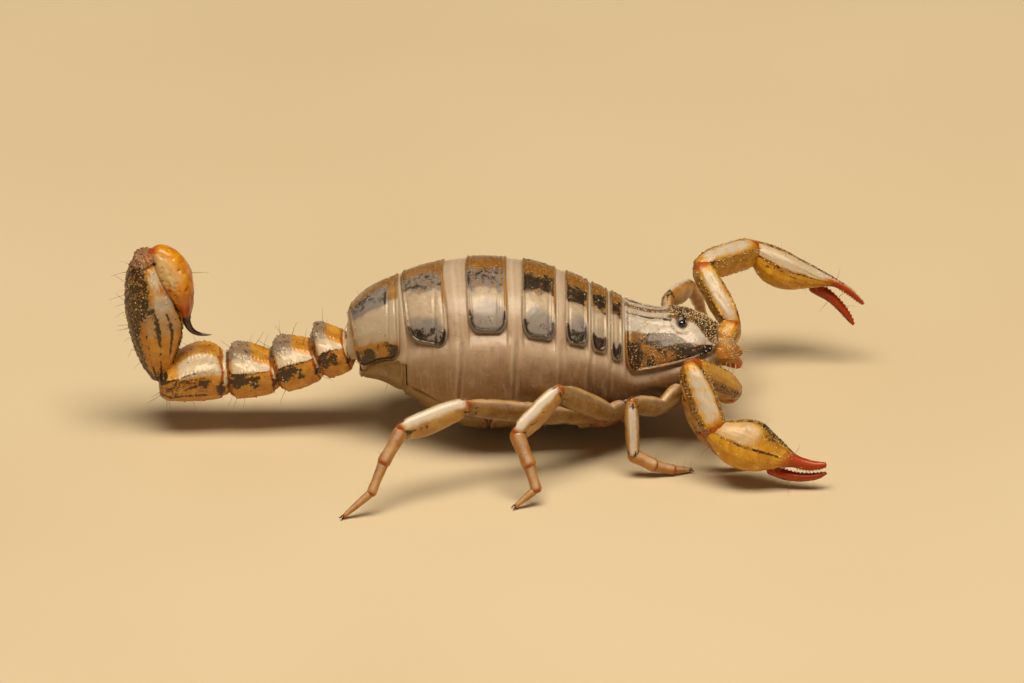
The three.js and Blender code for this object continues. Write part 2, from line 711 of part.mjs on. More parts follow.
for (const [name, arm] of Object.entries(PEDIPALPS)) {
  const forearmUp = point(arm.forearmDeep);
  const armPiece = (from, to, up, half, size) => toSolid(
    limb(from, to, up, half, ARM_SWELL, { ...ARM_MESH, ...size }),
  );
  const trochanter = (grow) => armPiece(arm.coxa, arm.shoulder, UP, ARM.trochanter, { grow });
  const femur = (grow) => armPiece(
    arm.shoulder, arm.elbow, UP, ARM.femur, { grow, flatness: ARM.flatness },
  );
  const patella = (grow) => armPiece(
    arm.elbow, arm.wrist, forearmUp, ARM.patella, { grow, flatness: ARM.flatness },
  );
  const hand = (grow) => join([palm(arm, grow), finger(arm.fixedFinger, grow)]);
  const movingFinger = toSolid(finger(arm.movingFinger));
  const trochanterLeft = clearOfTrunk(trochanter(0)).subtract(jawRoom);
  add(`${name}_trochanter`, toGeometry(trochanterLeft), PALM_YELLOW);
  add(`${name}_femur`, toGeometry(femur(0).subtract(trochanter(GAP))), PALM_YELLOW);
  add(`${name}_patella`, toGeometry(patella(0).subtract(femur(GAP))), PALM_YELLOW);
  add(`${name}_hand`, toGeometry(hand(0).subtract(patella(GAP))), PALM_YELLOW);
  add(`${name}_finger`, toGeometry(movingFinger.subtract(hand(GAP))), FINGER_RED);
}

// ---------------------------------------------------------------- origin under the middle of the animal

const bounds = new THREE.Box3().setFromObject(animal);
const middle = bounds.getCenter(new THREE.Vector3());
animal.position.set(-middle.x, -middle.y, -bounds.min.z);

export default animal;
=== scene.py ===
"""A life-size museum model of a swollen desert scorpion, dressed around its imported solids.

Sizes in the classes are millimetres in the animal's own frame: the head along +X, the animal's
left side along +Y and the floor at Z = 0. A Workshop turns them into metres in the solids' frame.
"""
from __future__ import annotations

import logging
import math
from dataclasses import dataclass, field
from enum import Enum
from typing import Callable, Sequence

import bpy
import numpy as np
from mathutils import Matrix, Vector

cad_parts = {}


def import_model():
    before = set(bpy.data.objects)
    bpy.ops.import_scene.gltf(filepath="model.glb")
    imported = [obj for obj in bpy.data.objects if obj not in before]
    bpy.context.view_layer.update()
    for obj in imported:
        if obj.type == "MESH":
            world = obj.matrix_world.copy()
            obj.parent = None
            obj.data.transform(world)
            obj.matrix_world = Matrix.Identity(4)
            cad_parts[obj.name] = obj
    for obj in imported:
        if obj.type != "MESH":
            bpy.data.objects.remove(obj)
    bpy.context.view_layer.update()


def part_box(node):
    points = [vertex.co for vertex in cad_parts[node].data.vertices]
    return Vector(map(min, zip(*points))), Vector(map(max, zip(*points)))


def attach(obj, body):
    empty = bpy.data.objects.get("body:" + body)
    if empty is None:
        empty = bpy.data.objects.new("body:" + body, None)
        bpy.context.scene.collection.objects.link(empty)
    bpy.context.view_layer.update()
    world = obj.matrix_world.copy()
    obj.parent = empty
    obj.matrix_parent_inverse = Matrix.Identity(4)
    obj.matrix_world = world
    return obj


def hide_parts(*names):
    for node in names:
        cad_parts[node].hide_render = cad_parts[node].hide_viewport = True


LOG = logging.getLogger("scorpion")

MM = 0.001  # metres in a millimetre
UP = (0.0, 0.0, 1.0)
SIDES = ((1, "left"), (-1, "right"))
HAIR_SIDES, HAIR_RINGS = 5, 6  # the corners of one hair
HAIR_PATCH = 0.003  # its share of the map each way
CLEAR = 0.02  # the least height of a hair above the floor, in millimetres
Grid = np.ndarray
Marks = dict[str, Grid]
Row = Sequence[float]
Table = Sequence[Row]
Rule = Callable[..., Grid]


# ---------------- numbers along the animal

def follow(stations: Table, at: Grid) -> Grid:
    """Reads a table of stations at some places, on a smooth line through them.

    Args:
        stations: rows of a place and the values there, in rising order of the place.
        at: the places to read, in an array of any shape.

    Returns:
        The values, in an array with one more axis than the places.
    """
    table = np.asarray(stations, float)
    last = len(table) - 1
    place = np.clip(at, table[0, 0], table[-1, 0])
    index = np.clip(np.searchsorted(table[:, 0], place) - 1, 0, last - 1)
    rows = np.arange(last + 1)
    before, after = table[np.maximum(rows - 1, 0)], table[np.minimum(rows + 1, last)]
    slopes = (after - before)[:, 1:] / (after - before)[:, :1]
    low, high = table[index], table[index + 1]
    span = high[..., :1] - low[..., :1]
    t = (np.asarray(place)[..., None] - low[..., :1]) / span
    ease = t * t * (3 - 2 * t)
    rise = t * (1 - t) ** 2 * span * slopes[index]
    fall = t * t * (1 - t) * span * slopes[index + 1]
    return low[..., 1:] * (1 - ease) + high[..., 1:] * ease + rise - fall


def read(stations: Table, at: Grid) -> Grid:
    """The first value of a table of stations at some places."""
    return follow(stations, at)[..., 0]


def unit(value: Grid) -> Grid:
    """Keeps numbers between 0 and 1."""
    return np.clip(value, 0, 1)


def step(value: Grid, low: float, high: float) -> Grid:
    """Rises smoothly from 0 at low to 1 at high, or falls where high is the smaller."""
    t = unit((value - low) / (high - low))
    return t * t * (3 - 2 * t)


def band(value: Grid, low: float, high: float, soft: float) -> Grid:
    """Is 1 between low and high, and fades to 0 over a soft edge on both sides."""
    return step(value, low - soft, low) * step(value, high + soft, high)


def bell(value: Grid, middle: float, width: float) -> Grid:
    """A bell curve of height 1 about a middle."""
    return np.exp(-(((value - middle) / width) ** 2))


def turn_gap(angle: Grid, middle: float) -> Grid:
    """The unsigned gap in degrees between angles in radians and a middle in degrees."""
    return np.abs((np.degrees(angle) - middle + 180) % 360 - 180)


def ridge(angle: Grid, middle: float, width: float) -> Grid:
    """A bell curve round a body: angles in radians, its middle and its width in degrees."""
    return bell(turn_gap(angle, middle), 0, width)


def ripple(x: Grid, y: Grid, seed: int, scale: float) -> Grid:
    """Gentle uneven waves over a surface, between about -1 and 1.

    Args:
        x: first coordinate over the surface.
        y: second coordinate over the surface.
        seed: picks the directions and phases of the waves.
        scale: waves in each unit of the coordinates.

    Returns:
        The height of the waves.
    """
    draw = np.random.default_rng(seed)
    total = np.zeros(np.broadcast(x, y).shape)
    for octave in (1.0, 1.7, 2.9, 4.3):
        heading, phase = draw.uniform(0, math.tau, 2)
        wave = (x * math.cos(heading) + y * math.sin(heading)) * scale * octave * math.tau
        total += np.sin(wave + phase) / octave
    return total / 2


# ---------------- closed shapes

@dataclass
class Shape:
    """A closed mesh in millimetres with named numbers at its corners."""

    points: Grid
    faces: list[Grid]
    marks: Marks = field(default_factory=dict)

    def outward(self) -> "Shape":
        """Turns the faces over if they point inwards, and returns the shape.

        Returns:
            The shape itself.
        """
        volume = 0.0
        for block in self.faces:
            corner = self.points[block]
            for k in range(1, block.shape[1] - 1):
                normal = np.cross(corner[:, k], corner[:, k + 1])
                volume += float((corner[:, 0] * normal).sum())
        if volume < 0:
            self.faces = [block[:, ::-1] for block in self.faces]
        return self

    def above_floor(self, corners: int) -> "Shape":
        """Leaves out the pieces that reach under the floor.

        Args:
            corners: how many corners each piece has; they follow each other.

        Returns:
            The shape without those pieces.
        """
        height = self.points[:, 2].reshape(-1, corners).min(1)
        keep = np.repeat(height > CLEAR, corners)
        place = np.cumsum(keep) - 1
        faces = [place[block[keep[block[:, 0]]]] for block in self.faces]
        marks = {name: values[keep] for name, values in self.marks.items()}
        return Shape(self.points[keep], faces, marks)


def joined(shapes: Sequence[Shape]) -> Shape:
    """Puts several shapes into one mesh.

    Args:
        shapes: the shapes, each closed by itself.

    Returns:
        One shape with the marks of all, 0 where a shape lacks a mark.
    """
    names = sorted({name for shape in shapes for name in shape.marks})
    faces, start = [], 0
    for shape in shapes:
        faces += [block + start for block in shape.faces]
        start += len(shape.points)
    marks = {
        name: np.concatenate([s.marks.get(name, np.zeros(len(s.points))) for s in shapes])
        for name in names
    }
    return Shape(np.concatenate([s.points for s in shapes]), faces, marks)


def tube(rings: Grid, marks: Marks) -> Shape:
    """Closes a grid of rings into a body with a pole at each end.

    Args:
        rings: corners as rings, sides and coordinates.
        marks: numbers at the corners, as rings and sides.

    Returns:
        The closed body.
    """
    count, sides = rings.shape[:2]
    ring, side = np.meshgrid(np.arange(count - 1), np.arange(sides), indexing="ij")
    here, there = ring * sides + side, ring * sides + (side + 1) % sides
    quads = np.stack([here, there, there + sides, here + sides], -1).reshape(-1, 4)
    first, last = count * sides, count * sides + 1
    turn = np.arange(sides)
    follower = (turn + 1) % sides
    base = (count - 1) * sides
    start = np.stack([np.full(sides, first), follower, turn], -1)
    end = np.stack([np.full(sides, last), base + turn, base + follower], -1)
    points = np.concatenate([rings.reshape(-1, 3), [rings[0].mean(0)], [rings[-1].mean(0)]])
    flat = {
        name: np.concatenate([grid.reshape(-1), [grid[0].mean()], [grid[-1].mean()]])
        for name, grid in marks.items()
    }
    return Shape(points, [quads, np.concatenate([start, end])], flat).outward()


def pillow(outer: Grid, inner: Grid, marks: Marks) -> Shape:
    """Closes two sheets that share a border into one thin plate.

    Args:
        outer: corners of the outer sheet, as rows, columns and coordinates.
        inner: corners of the inner sheet; its border lies on that of the outer one.
        marks: numbers at the corners of both sheets, as rows and columns.

    Returns:
        The closed plate.
    """
    rows, columns = outer.shape[:2]
    size = rows * columns
    over = np.arange(size).reshape(rows, columns)
    under = over + size
    under[0], under[-1], under[:, 0], under[:, -1] = over[0], over[-1], over[:, 0], over[:, -1]

    def cells(index: Grid) -> Grid:
        """The quads between neighbouring corners of one sheet."""
        corners = [index[:-1, :-1], index[1:, :-1], index[1:, 1:], index[:-1, 1:]]
        return np.stack(corners, -1).reshape(-1, 4)

    used, lookup = np.unique(np.concatenate([cells(over), cells(under)[:, ::-1]]), return_inverse=True)
    points = np.concatenate([outer.reshape(-1, 3), inner.reshape(-1, 3)])[used]
    flat = {name: np.tile(grid.reshape(-1), 2)[used] for name, grid in marks.items()}
    return Shape(points, [lookup.reshape(-1, 4)], flat).outward()


def ball(centre: Row, radius: Row, steps: int = 12) -> Shape:
    """A ball or egg about a centre.

    Args:
        centre: its middle.
        radius: its three half sizes along the axes.
        steps: rows of faces from pole to pole.

    Returns:
        The closed ball.
    """
    down = np.linspace(0, math.pi, steps + 1)[1:-1, None]
    around = np.linspace(0, math.tau, 2 * steps, endpoint=False)[None, :]
    unit = np.stack([
        np.sin(down) * np.cos(around), np.sin(down) * np.sin(around),
        np.cos(down) * np.ones_like(around),
    ], -1)
    shape = tube(unit, {})
    shape.points[-2:] = [[0, 0, 1], [0, 0, -1]]
    shape.points = shape.points * np.asarray(radius, float) + np.asarray(centre, float)
    return shape


@dataclass
class Body:
    """A rounded body along a line of centres, with a relief over its surface.

    The angle runs from 0 on the side, through 90 degrees on the back, to 180 on the other side.
    """

    centre: Rule
    up: Row
    halves: Rule
    rings: int = 60
    sides: int = 48
    square: float = 1.0
    cap: float = 0.5
    cap_rings: int = 5

    def build(self, relief: Rule | None = None, marks: Rule | None = None) -> Shape:
        """Lays out the rings of the body and closes its ends with domes.

        Args:
            relief: height over the smooth body, from places along it and angles.
            marks: the named numbers, from the same places and angles.

        Returns:
            The closed body.
        """
        along = np.linspace(0, 1, self.rings)
        dome = np.linspace(math.pi / 2, 0, self.cap_rings, endpoint=False)[1:] if self.cap_rings else []
        places = np.concatenate([np.zeros(len(dome)), along, np.ones(len(dome))])
        lift = np.asarray(dome)
        fade = np.concatenate([np.cos(lift), np.ones(self.rings), np.cos(lift[::-1])])
        push = np.concatenate([-np.sin(lift), np.zeros(self.rings), np.sin(lift[::-1])])
        ahead = self.centre(np.minimum(places + 0.01, 1)) - self.centre(np.maximum(places - 0.01, 0))
        ahead = ahead / np.linalg.norm(ahead, axis=1, keepdims=True)
        across = np.cross(np.asarray(self.up, float), ahead)
        across = across / np.linalg.norm(across, axis=1, keepdims=True)
        above = np.cross(ahead, across)
        angle = np.linspace(0, math.tau, self.sides, endpoint=False)
        t, a = np.meshgrid(places, angle, indexing="ij")
        halves = self.halves(places)
        wide = np.sign(np.cos(a)) * np.abs(np.cos(a)) ** self.square
        high = np.sign(np.sin(a)) * np.abs(np.sin(a)) ** self.square
        x = wide * halves[:, :1]
        y = high * np.where(high > 0, halves[:, 1:2], halves[:, 2:3])
        if relief is not None:
            size = np.maximum(np.hypot(x, y), 1e-6)
            grow = 1 + relief(t, a) / size
            x, y = x * grow, y * grow
        x, y = x * fade[:, None], y * fade[:, None]
        reach = push * self.cap * halves.min(1)
        line = self.centre(places) + ahead * reach[:, None]
        grid = line[:, None] + x[..., None] * across[:, None] + y[..., None] * above[:, None]
        numbers = marks(t, a) if marks else {}
        numbers = {name: np.broadcast_to(value, t.shape) for name, value in numbers.items()}
        numbers.setdefault("along", t)
        numbers.setdefault("around", a / math.tau)
        return tube(grid, numbers)


def facing(start: Row, end: Row, up: Row, way: Row) -> float:
    """The angle round a body, in degrees, that faces a direction.

    Args:
        start: where the body starts.
        end: where it ends.
        up: the direction of its back.
        way: the direction to face.

    Returns:
        The angle, in the sense that Body uses.
    """
    ahead = np.asarray(end, float) - np.asarray(start, float)
    across = np.cross(np.asarray(up, float), ahead)
    across = across / np.linalg.norm(across)
    above = np.cross(ahead / np.linalg.norm(ahead), across)
    return math.degrees(math.atan2(float(np.dot(way, above)), float(np.dot(way, across))))


def straight(start: Row, end: Row, reach: float = 0.0) -> Rule:
    """The line of centres between two joints.

    Args:
        start: the first joint.
        end: the second joint.
        reach: how far the line runs on past both.

    Returns:
        A function from places along the line to points.
    """
    low, high = np.asarray(start, float), np.asarray(end, float)
    ahead = (high - low) / np.linalg.norm(high - low)
    low, high = low - ahead * reach, high + ahead * reach
    return lambda t: low + (high - low) * np.asarray(t)[:, None]


def curved(points: Table) -> Rule:
    """A smooth line of centres through some points.

    Args:
        points: the points, in order.

    Returns:
        A function from places along the line to points on it.
    """
    row = np.asarray(points, float)
    length = np.concatenate([[0], np.cumsum(np.linalg.norm(np.diff(row, axis=0), axis=1))])
    table = np.column_stack([length / length[-1], row])
    return lambda t: follow(table, np.asarray(t))


def swelling(half: float, swell: Table, flatness: float = 1.0) -> Rule:
    """Half sizes of a limb piece from its thickness and the way it swells.

    Args:
        half: the full half depth.
        swell: rows of a place and a share of the full size.
        flatness: width as a share of the depth.

    Returns:
        A function from places to half width, depth above and depth below.
    """
    def halves(t: Grid) -> Grid:
        """The three half sizes at some places."""
        share = read(swell, np.asarray(t)) * half
        return np.stack([share * flatness, share, share], -1)
    return halves


# ---------------- wiring of nodes

def linear(code: str) -> tuple[float, float, float, float]:
    """Turns a colour written as six hex digits into linear light.

    Args:
        code: the six digits.

    Returns:
        Red, green, blue and alpha.
    """
    parts = [int(code[k:k + 2], 16) / 255 for k in (0, 2, 4)]
    made = [p / 12.92 if p <= 0.04045 else ((p + 0.055) / 1.055) ** 2.4 for p in parts]
    return made[0], made[1], made[2], 1.0


class Wiring:
    """Adds nodes to a tree and links them in one call each."""

    def __init__(self, tree: bpy.types.NodeTree) -> None:
        """Starts on an empty tree."""
        self.tree = tree
        tree.nodes.clear()

    def add(self, kind: str, inputs: dict | None = None, **settings: object) -> bpy.types.Node:
        """Adds one node.

        Args:
            kind: the node's type.
            inputs: values or sockets for its inputs, by name or number.
            settings: the node's own settings.

        Returns:
            The new node.
        """
        node = self.tree.nodes.new(kind)
        for name, value in settings.items():
            setattr(node, name, value)
        for key, value in (inputs or {}).items():
            if isinstance(value, bpy.types.NodeSocket):
                self.tree.links.new(value, node.inputs[key])
            else:
                node.inputs[key].default_value = value
        return node

    def math(self, operation: str, a: object, b: object) -> object:
        """The result of one sum on two numbers."""
        return self.add("ShaderNodeMath", {0: a, 1: b}, operation=operation).outputs[0]

    def times(self, a: object, b: object) -> object:
        """The product of two numbers."""
        return self.math("MULTIPLY", a, b)

    def plus(self, a: object, *more: object) -> object:
        """The sum of two numbers or more."""
        for b in more:
            a = self.math("ADD", a, b)
        return a

    def swing(self, noise: object, size: float) -> object:
        """Noise about 0, by a size."""
        return self.times(self.math("SUBTRACT", noise, 0.5), size)

    def mix(self, share: object, a: object, b: object) -> object:
        """A mix of two colours by a share; a colour in hex digits is turned into linear light.

        Args:
            share: how much of the second shows.
            a: the first colour.
            b: the second colour.

        Returns:
            The socket of the mixed colour.
        """
        a, b = (linear(colour) if isinstance(colour, str) else colour for colour in (a, b))
        settings = {"data_type": "RGBA", "blend_type": "MIX", "clamp_factor": True}
        return self.add("ShaderNodeMix", {0: share, 6: a, 7: b}, **settings).outputs[2]

    def smooth(self, value: object, low: float, high: float, to: Row = (0, 1)) -> object:
        """A smooth rise between two limits."""
        inputs = {0: value, 1: low, 2: high, 3: to[0], 4: to[1]}
        return self.add("ShaderNodeMapRange", inputs, interpolation_type="SMOOTHSTEP").outputs[0]

    def noise(self, where: object, scale: float, detail: float = 4, rough: float = 0.55,
              twist: float = 0.0) -> object:
        """Cloudy noise at some scale, in waves for each millimetre."""
        inputs = {"Vector": where, "Scale": scale, "Detail": detail, "Roughness": rough, "Distortion": twist}
        return self.add("ShaderNodeTexNoise", inputs).outputs[0]

    def cells(self, where: object, scale: float) -> object:
        """The distance to the nearest of scattered points, so many to a millimetre."""
        return self.add("ShaderNodeTexVoronoi", {"Vector": where, "Scale": scale}).outputs["Distance"]

    def bump(self, height: object, strength: float, depth: float) -> object:
        """A surface roughened by a height, to a depth in millimetres."""
        inputs = {"Strength": strength, "Distance": depth * MM, "Height": height}
        return self.add("ShaderNodeBump", inputs).outputs[0]

    def mark(self, name: str) -> object:
        """The numbers that a mesh carries under a name."""
        return self.add("ShaderNodeAttribute", attribute_name=name, attribute_type="GEOMETRY").outputs[2]

    def millimetres(self, stretch: Row = (1, 1, 1)) -> object:
        """Places on the piece in millimetres, stretched along the axes.

        Args:
            stretch: how much each axis is stretched.

        Returns:
            The socket of the places.
        """
        where = self.add("ShaderNodeTexCoord").outputs["Object"]
        scale = tuple(s / MM for s in stretch)
        return self.add("ShaderNodeMapping", {"Vector": where, "Scale": scale}).outputs[0]


# ---------------- finishes

@dataclass(frozen=True)
class Finish:
    """What every finish shares: its name, and how its material is put together."""

    name: str

    def dress(self, w: Wiring) -> dict[str, object]:
        """The values of the shader, by the names of its inputs, from patterns wired in w."""
        raise NotImplementedError

    def build(self) -> bpy.types.Material:
        """Builds the material, with its pattern on Object coordinates and the marks of the mesh.

        Returns:
            The material.
        """
        material = bpy.data.materials.new(self.name)
        material.use_nodes = True
        w = Wiring(material.node_tree)
        shader = w.add("ShaderNodeBsdfPrincipled", self.dress(w))
        w.add("ShaderNodeOutputMaterial", {0: shader.outputs[0]})
        return material


@dataclass(frozen=True)
class ShellFinish(Finish):
    """Horny shell: a mottled base, with dark, slate, pale and warm places where it is marked. The pale
    places are partly pale rims and spots, and mostly a painted sheen of the overhead light.

    Colours are written as hex digits, scales as waves to a millimetre and depths in millimetres.
    """

    base: str
    second: str
    dark: str
    pale: str
    warm: str
    slate: str = "6d6e72"
    ragged: float = 1.5
    ragged_scale: float = 1.6
    roughness: float = 0.34
    grain: float = 0.5
    grain_scale: float = 7.0
    glow: float = 0.15
    depth: float = 0.25
    coat: float = 0.3
    specks: float = 0.0
    dark_share: float = 1.0
    bead: str = "d2ae6c"

    def pattern(self, w: Wiring, where: object, fine: object) -> object:
        """Lays the colours over each other.

        Args:
            w: the wiring of the material.
            where: places on the piece in millimetres.
            fine: fine noise.

        Returns:
            The socket of the finished colour.
        """
        tone = w.noise(where, 1.3, 4, 0.6, 0.4)
        broad = w.noise(where, self.ragged_scale, 8, 0.72, 0.9)
        colour = w.mix(w.smooth(tone, 0.36, 0.66), self.base, self.second)
        loose = w.plus(w.swing(broad, 1.5), w.swing(fine, 0.7), 1.0)
        # the pale share paints the sheen of the overhead light on lit faces, as well as pale rims and spots
        for mark, shade in (("warm", self.warm), ("pale", self.pale), ("slate", self.slate)):
            share = w.smooth(w.times(w.mark(mark), loose), 0.08, 0.9)
            colour = w.mix(w.times(share, 0.95), colour, shade)
        mark = w.times(w.mark("dark"), self.dark_share)
        dark = w.smooth(w.plus(w.swing(broad, self.ragged), w.swing(fine, 0.8), mark), 0.41, 0.6)
        inner = w.mix(w.smooth(fine, 0.5, 0.75, (0, 0.3)), self.dark, self.slate)
        return w.mix(w.times(dark, 0.96), colour, inner)

    def dress(self, w: Wiring) -> dict[str, object]:
        """Wires the pattern, the beads of its grainy places and their relief.

        Args:
            w: the wiring of the material.

        Returns:
            The values of the shader, by the names of its inputs.
        """
        where = w.millimetres()
        fine = w.noise(where, 9, 5, 0.65)
        colour = self.pattern(w, where, fine)
        bead = w.smooth(w.cells(where, self.grain_scale), 0.45, 0.08)
        grain = w.mark("grain")
        grains = w.times(bead, grain)
        # beads painted lighter and the ground between them darker: partly their own colour, partly a painted
        # glint on each bead and painted shade between them
        ground_and_shade = w.times(w.math("SUBTRACT", 1.0, bead), grain)
        colour = w.mix(w.times(ground_and_shade, 0.45), colour, self.dark)
        colour = w.mix(w.times(grains, 0.45), colour, self.bead)
        if self.specks:
            colour = w.mix(w.smooth(w.cells(where, 2.4), 0.11, 0.05, (0, self.specks)), colour, "f0dfc0")
        ridges = w.noise(where, 3.2, 5, 0.65, 0.5)
        height = w.plus(w.times(fine, 0.35), w.times(grains, self.grain), w.times(ridges, 0.8))
        return {
            "Base Color": colour,
            "Roughness": w.smooth(fine, 0.25, 0.75, (self.roughness - 0.1, self.roughness + 0.12)),
            "Normal": w.bump(height, 0.5, 0.07), "IOR": 1.52, "Specular Tint": (1.0, 0.8, 0.56, 1.0),
            "Coat Weight": self.coat, "Coat Roughness": 0.16, "Subsurface Weight": self.glow,
            "Subsurface Radius": (1.0, 0.45, 0.15), "Subsurface Scale": self.depth * MM,
        }


@dataclass(frozen=True)
class MembraneFinish(Finish):
    """Stretched soft skin: satin, finely pleated up and down, with a painted sheen on its folds and painted
    shade where it is marked dark.
    """

    name: str = "stretched_membrane"
    upper: str = "a88c70"
    middle: str = "8c623a"
    lower: str = "52300c"
    # the fold colour also paints the sheen of the overhead light on the folds and just under the plates
    fold: str = "c8b296"
    speck: str = "f0e2cf"
    shadow: str = "4a3020"
    roughness: float = 0.38

    def dress(self, w: Wiring) -> dict[str, object]:
        """Wires the pleats, the stains and streaks, and the colours from the mesh's marks.

        Args:
            w: the wiring of the material.

        Returns:
            The values of the shader, by the names of its inputs.
        """
        where = w.millimetres()
        cloud = w.noise(where, 0.8, 4, 0.6)
        fine = w.noise(where, 9, 4, 0.6)
        pleat = w.noise(w.millimetres((5.0, 0.55, 0.55)), 1.0, 4, 0.6, 0.5)
        stain = w.noise(where, 1.6, 6, 0.68, 1.2)
        streak = w.noise(w.millimetres((1.5, 0.4, 0.4)), 1.0, 5, 0.7, 1.4)
        wrinkle = w.noise(w.millimetres((0.5, 4.0, 4.0)), 1.0, 5, 0.65, 1.0)
        down = w.plus(w.mark("down"), w.swing(cloud, 0.5))
        colour = w.mix(w.smooth(down, 0.0, 0.45), self.upper, self.middle)
        for share, shade in (
                (w.smooth(down, 0.4, 1.0), self.lower),
                (w.times(w.smooth(pleat, 0.35, 0.7), 0.08), self.fold),
                (w.smooth(stain, 0.5, 0.72, (0, 0.35)), self.lower),
                (w.smooth(streak, 0.5, 0.74, (0, 0.4)), self.fold),
                # painted sheen in the fold colour on the fold edges and under the plates, and pale skin
                (w.mark("pale"), self.fold),
                (w.times(w.smooth(w.cells(where, 2.6), 0.1, 0.03), 0.7), self.speck),
                # painted shade under the head shield and under the edges of the first plates
                (w.times(w.mark("dark"), 0.9), self.shadow)):
            colour = w.mix(share, colour, shade)
        height = w.plus(w.times(pleat, 0.4), w.times(fine, 0.4), w.times(wrinkle, 1.0), w.times(stain, 1.2))
        return {
            "Base Color": colour,
            "Roughness": w.smooth(fine, 0.2, 0.8, (self.roughness - 0.06, self.roughness + 0.12)),
            "Normal": w.bump(height, 0.35, 0.06), "IOR": 1.5, "Specular Tint": (1.0, 0.86, 0.68, 1.0),
            "Coat Weight": 0.22, "Coat Roughness": 0.2, "Subsurface Weight": 0.45,
            "Subsurface Radius": (1.0, 0.5, 0.22), "Subsurface Scale": 1.2 * MM,
        }


@dataclass(frozen=True)
class PolishFinish(Finish):
    """One smooth glossy colour with a little variation, for eyes, claws and hairs."""

    colour: str
    second: str
    roughness: float = 0.1
    coat: float = 0.8

    def dress(self, w: Wiring) -> dict[str, object]:
        """Wires the slight change of tone."""
        tone = w.noise(w.millimetres(), 3.0, 3)
        return {
            "Base Color": w.mix(w.smooth(tone, 0.3, 0.7), self.colour, self.second),
            "Roughness": w.smooth(tone, 0.2, 0.8, (self.roughness, self.roughness + 0.08)),
            "Normal": w.bump(tone, 0.1, 0.02), "IOR": 1.5, "Coat Weight": self.coat, "Coat Roughness": 0.04,
        }


@dataclass(frozen=True)
class FloorFinish(Finish):
    """A plain pale studio floor."""

    name: str = "pale_floor"
    colour: str = "cdb892"
    second: str = "d3c09c"

    def dress(self, w: Wiring) -> dict[str, object]:
        """Wires a faint change of tone."""
        shade = w.noise(w.millimetres(), 0.02, 2)
        return {"Base Color": w.mix(w.smooth(shade, 0.2, 0.8), self.colour, self.second), "Roughness": 0.9}


class Coating(Enum):
    """The finishes of the animal."""

    # the fourth colour of each shell (pale) serves mostly as a painted sheen of the overhead light, and also
    # as pale rims and spots
    TERGITE = ShellFinish("tergite_shell", "8a602e", "a07840", "1a0e06", "b5a288", "a86e22",
                          slate="827a72", grain=0.4, ragged=1.9, ragged_scale=1.5, specks=0.7)
    CARAPACE = ShellFinish("carapace_shell", "7c5224", "8c673a", "190e06", "c2b6a4", "94601a",
                           slate="5e4c3c", grain=0.9, grain_scale=6.0, ragged=2.1, ragged_scale=1.5,
                           specks=0.7)
    # strewn grains painted pale and bright: partly the golden dust grains' own colour, partly a painted glint
    # on each grain
    GRAIN = ShellFinish("grain_horn", "dcb47c", "fce4b8", "6a4824", "fcecc8", "c88440", ragged=1.0,
                        slate="c8a878", ragged_scale=4.0, grain=0.0, glow=0.3, coat=0.8, roughness=0.22,
                        dark_share=0.0)
    TAIL_GRAIN = ShellFinish("tail_grain_horn", "8e6634", "b89058", "4a3018", "e6d2aa", "a0501c", ragged=1.2,
                             ragged_scale=3.0, grain=0.0, glow=0.3, coat=0.6, roughness=0.26,
                             dark_share=0.3)
    STERNITE = ShellFinish("sternite_shell", "927040", "7c5a2e", "3c2612", "b89c70", "8f5a20", ragged=0.8)
    TAIL = ShellFinish("tail_shell", "b87620", "cc9434", "1f1209", "cdbb9e", "8c3202", coat=0.25,
                       slate="74685a", ragged=2.2, ragged_scale=2.2, grain=0.5, glow=0.3, depth=0.35)
    BULB = ShellFinish("bulb_shell", "ca7806", "e49c10", "220a04", "eac88c", "b43e02", ragged=0.9,
                       grain=0.2, glow=0.4, coat=0.35, depth=0.5, bead="e0a850")
    LEG = ShellFinish("leg_shell", "a87430", "be924a", "2a1a0e", "d6cab8", "a83c08",
                      slate="6a4a1c", ragged=2.0, ragged_scale=2.2, grain=0.2, glow=0.4, depth=0.4)
    PALP = ShellFinish("palp_shell", "c48418", "dca62e", "2c1808", "c8baa2", "9e2200", coat=0.1,
                       slate="87591c", ragged=2.0, ragged_scale=2.4, grain=0.5, glow=0.3, depth=0.3)
    JAW = ShellFinish("jaw_shell", "b07024", "c48838", "2a1408", "d8b880", "b44c0c", ragged=1.8,
                      ragged_scale=2.4, grain=0.6, glow=0.3)
    COMB = ShellFinish("comb_shell", "a8843c", "98702c", "4c3418", "c4a870", "a06828", ragged=0.6, glow=0.3)
    COXA = ShellFinish("coxa_shell", "7c4a16", "8e5c20", "26160a", "a88450", "84400f", ragged=1.6)
    MEMBRANE = MembraneFinish()
    EYE = PolishFinish("eye_lens", "050505", "0b0a0a", 0.04, 1.0)
    CLAW = PolishFinish("claw_horn", "2a0d06", "3c1408", 0.14, 0.6)
    BRISTLE = PolishFinish("bristle_horn", "6a5238", "8a7250", 0.3, 0.2)
    FLOOR = FloorFinish()


# ---------------- scattered grains and hairs

class Scatter(Enum):
    """What is strewn over a surface, by the mark that allows it there."""

    GRAINS = "strewn"
    HAIRS = "bristle"


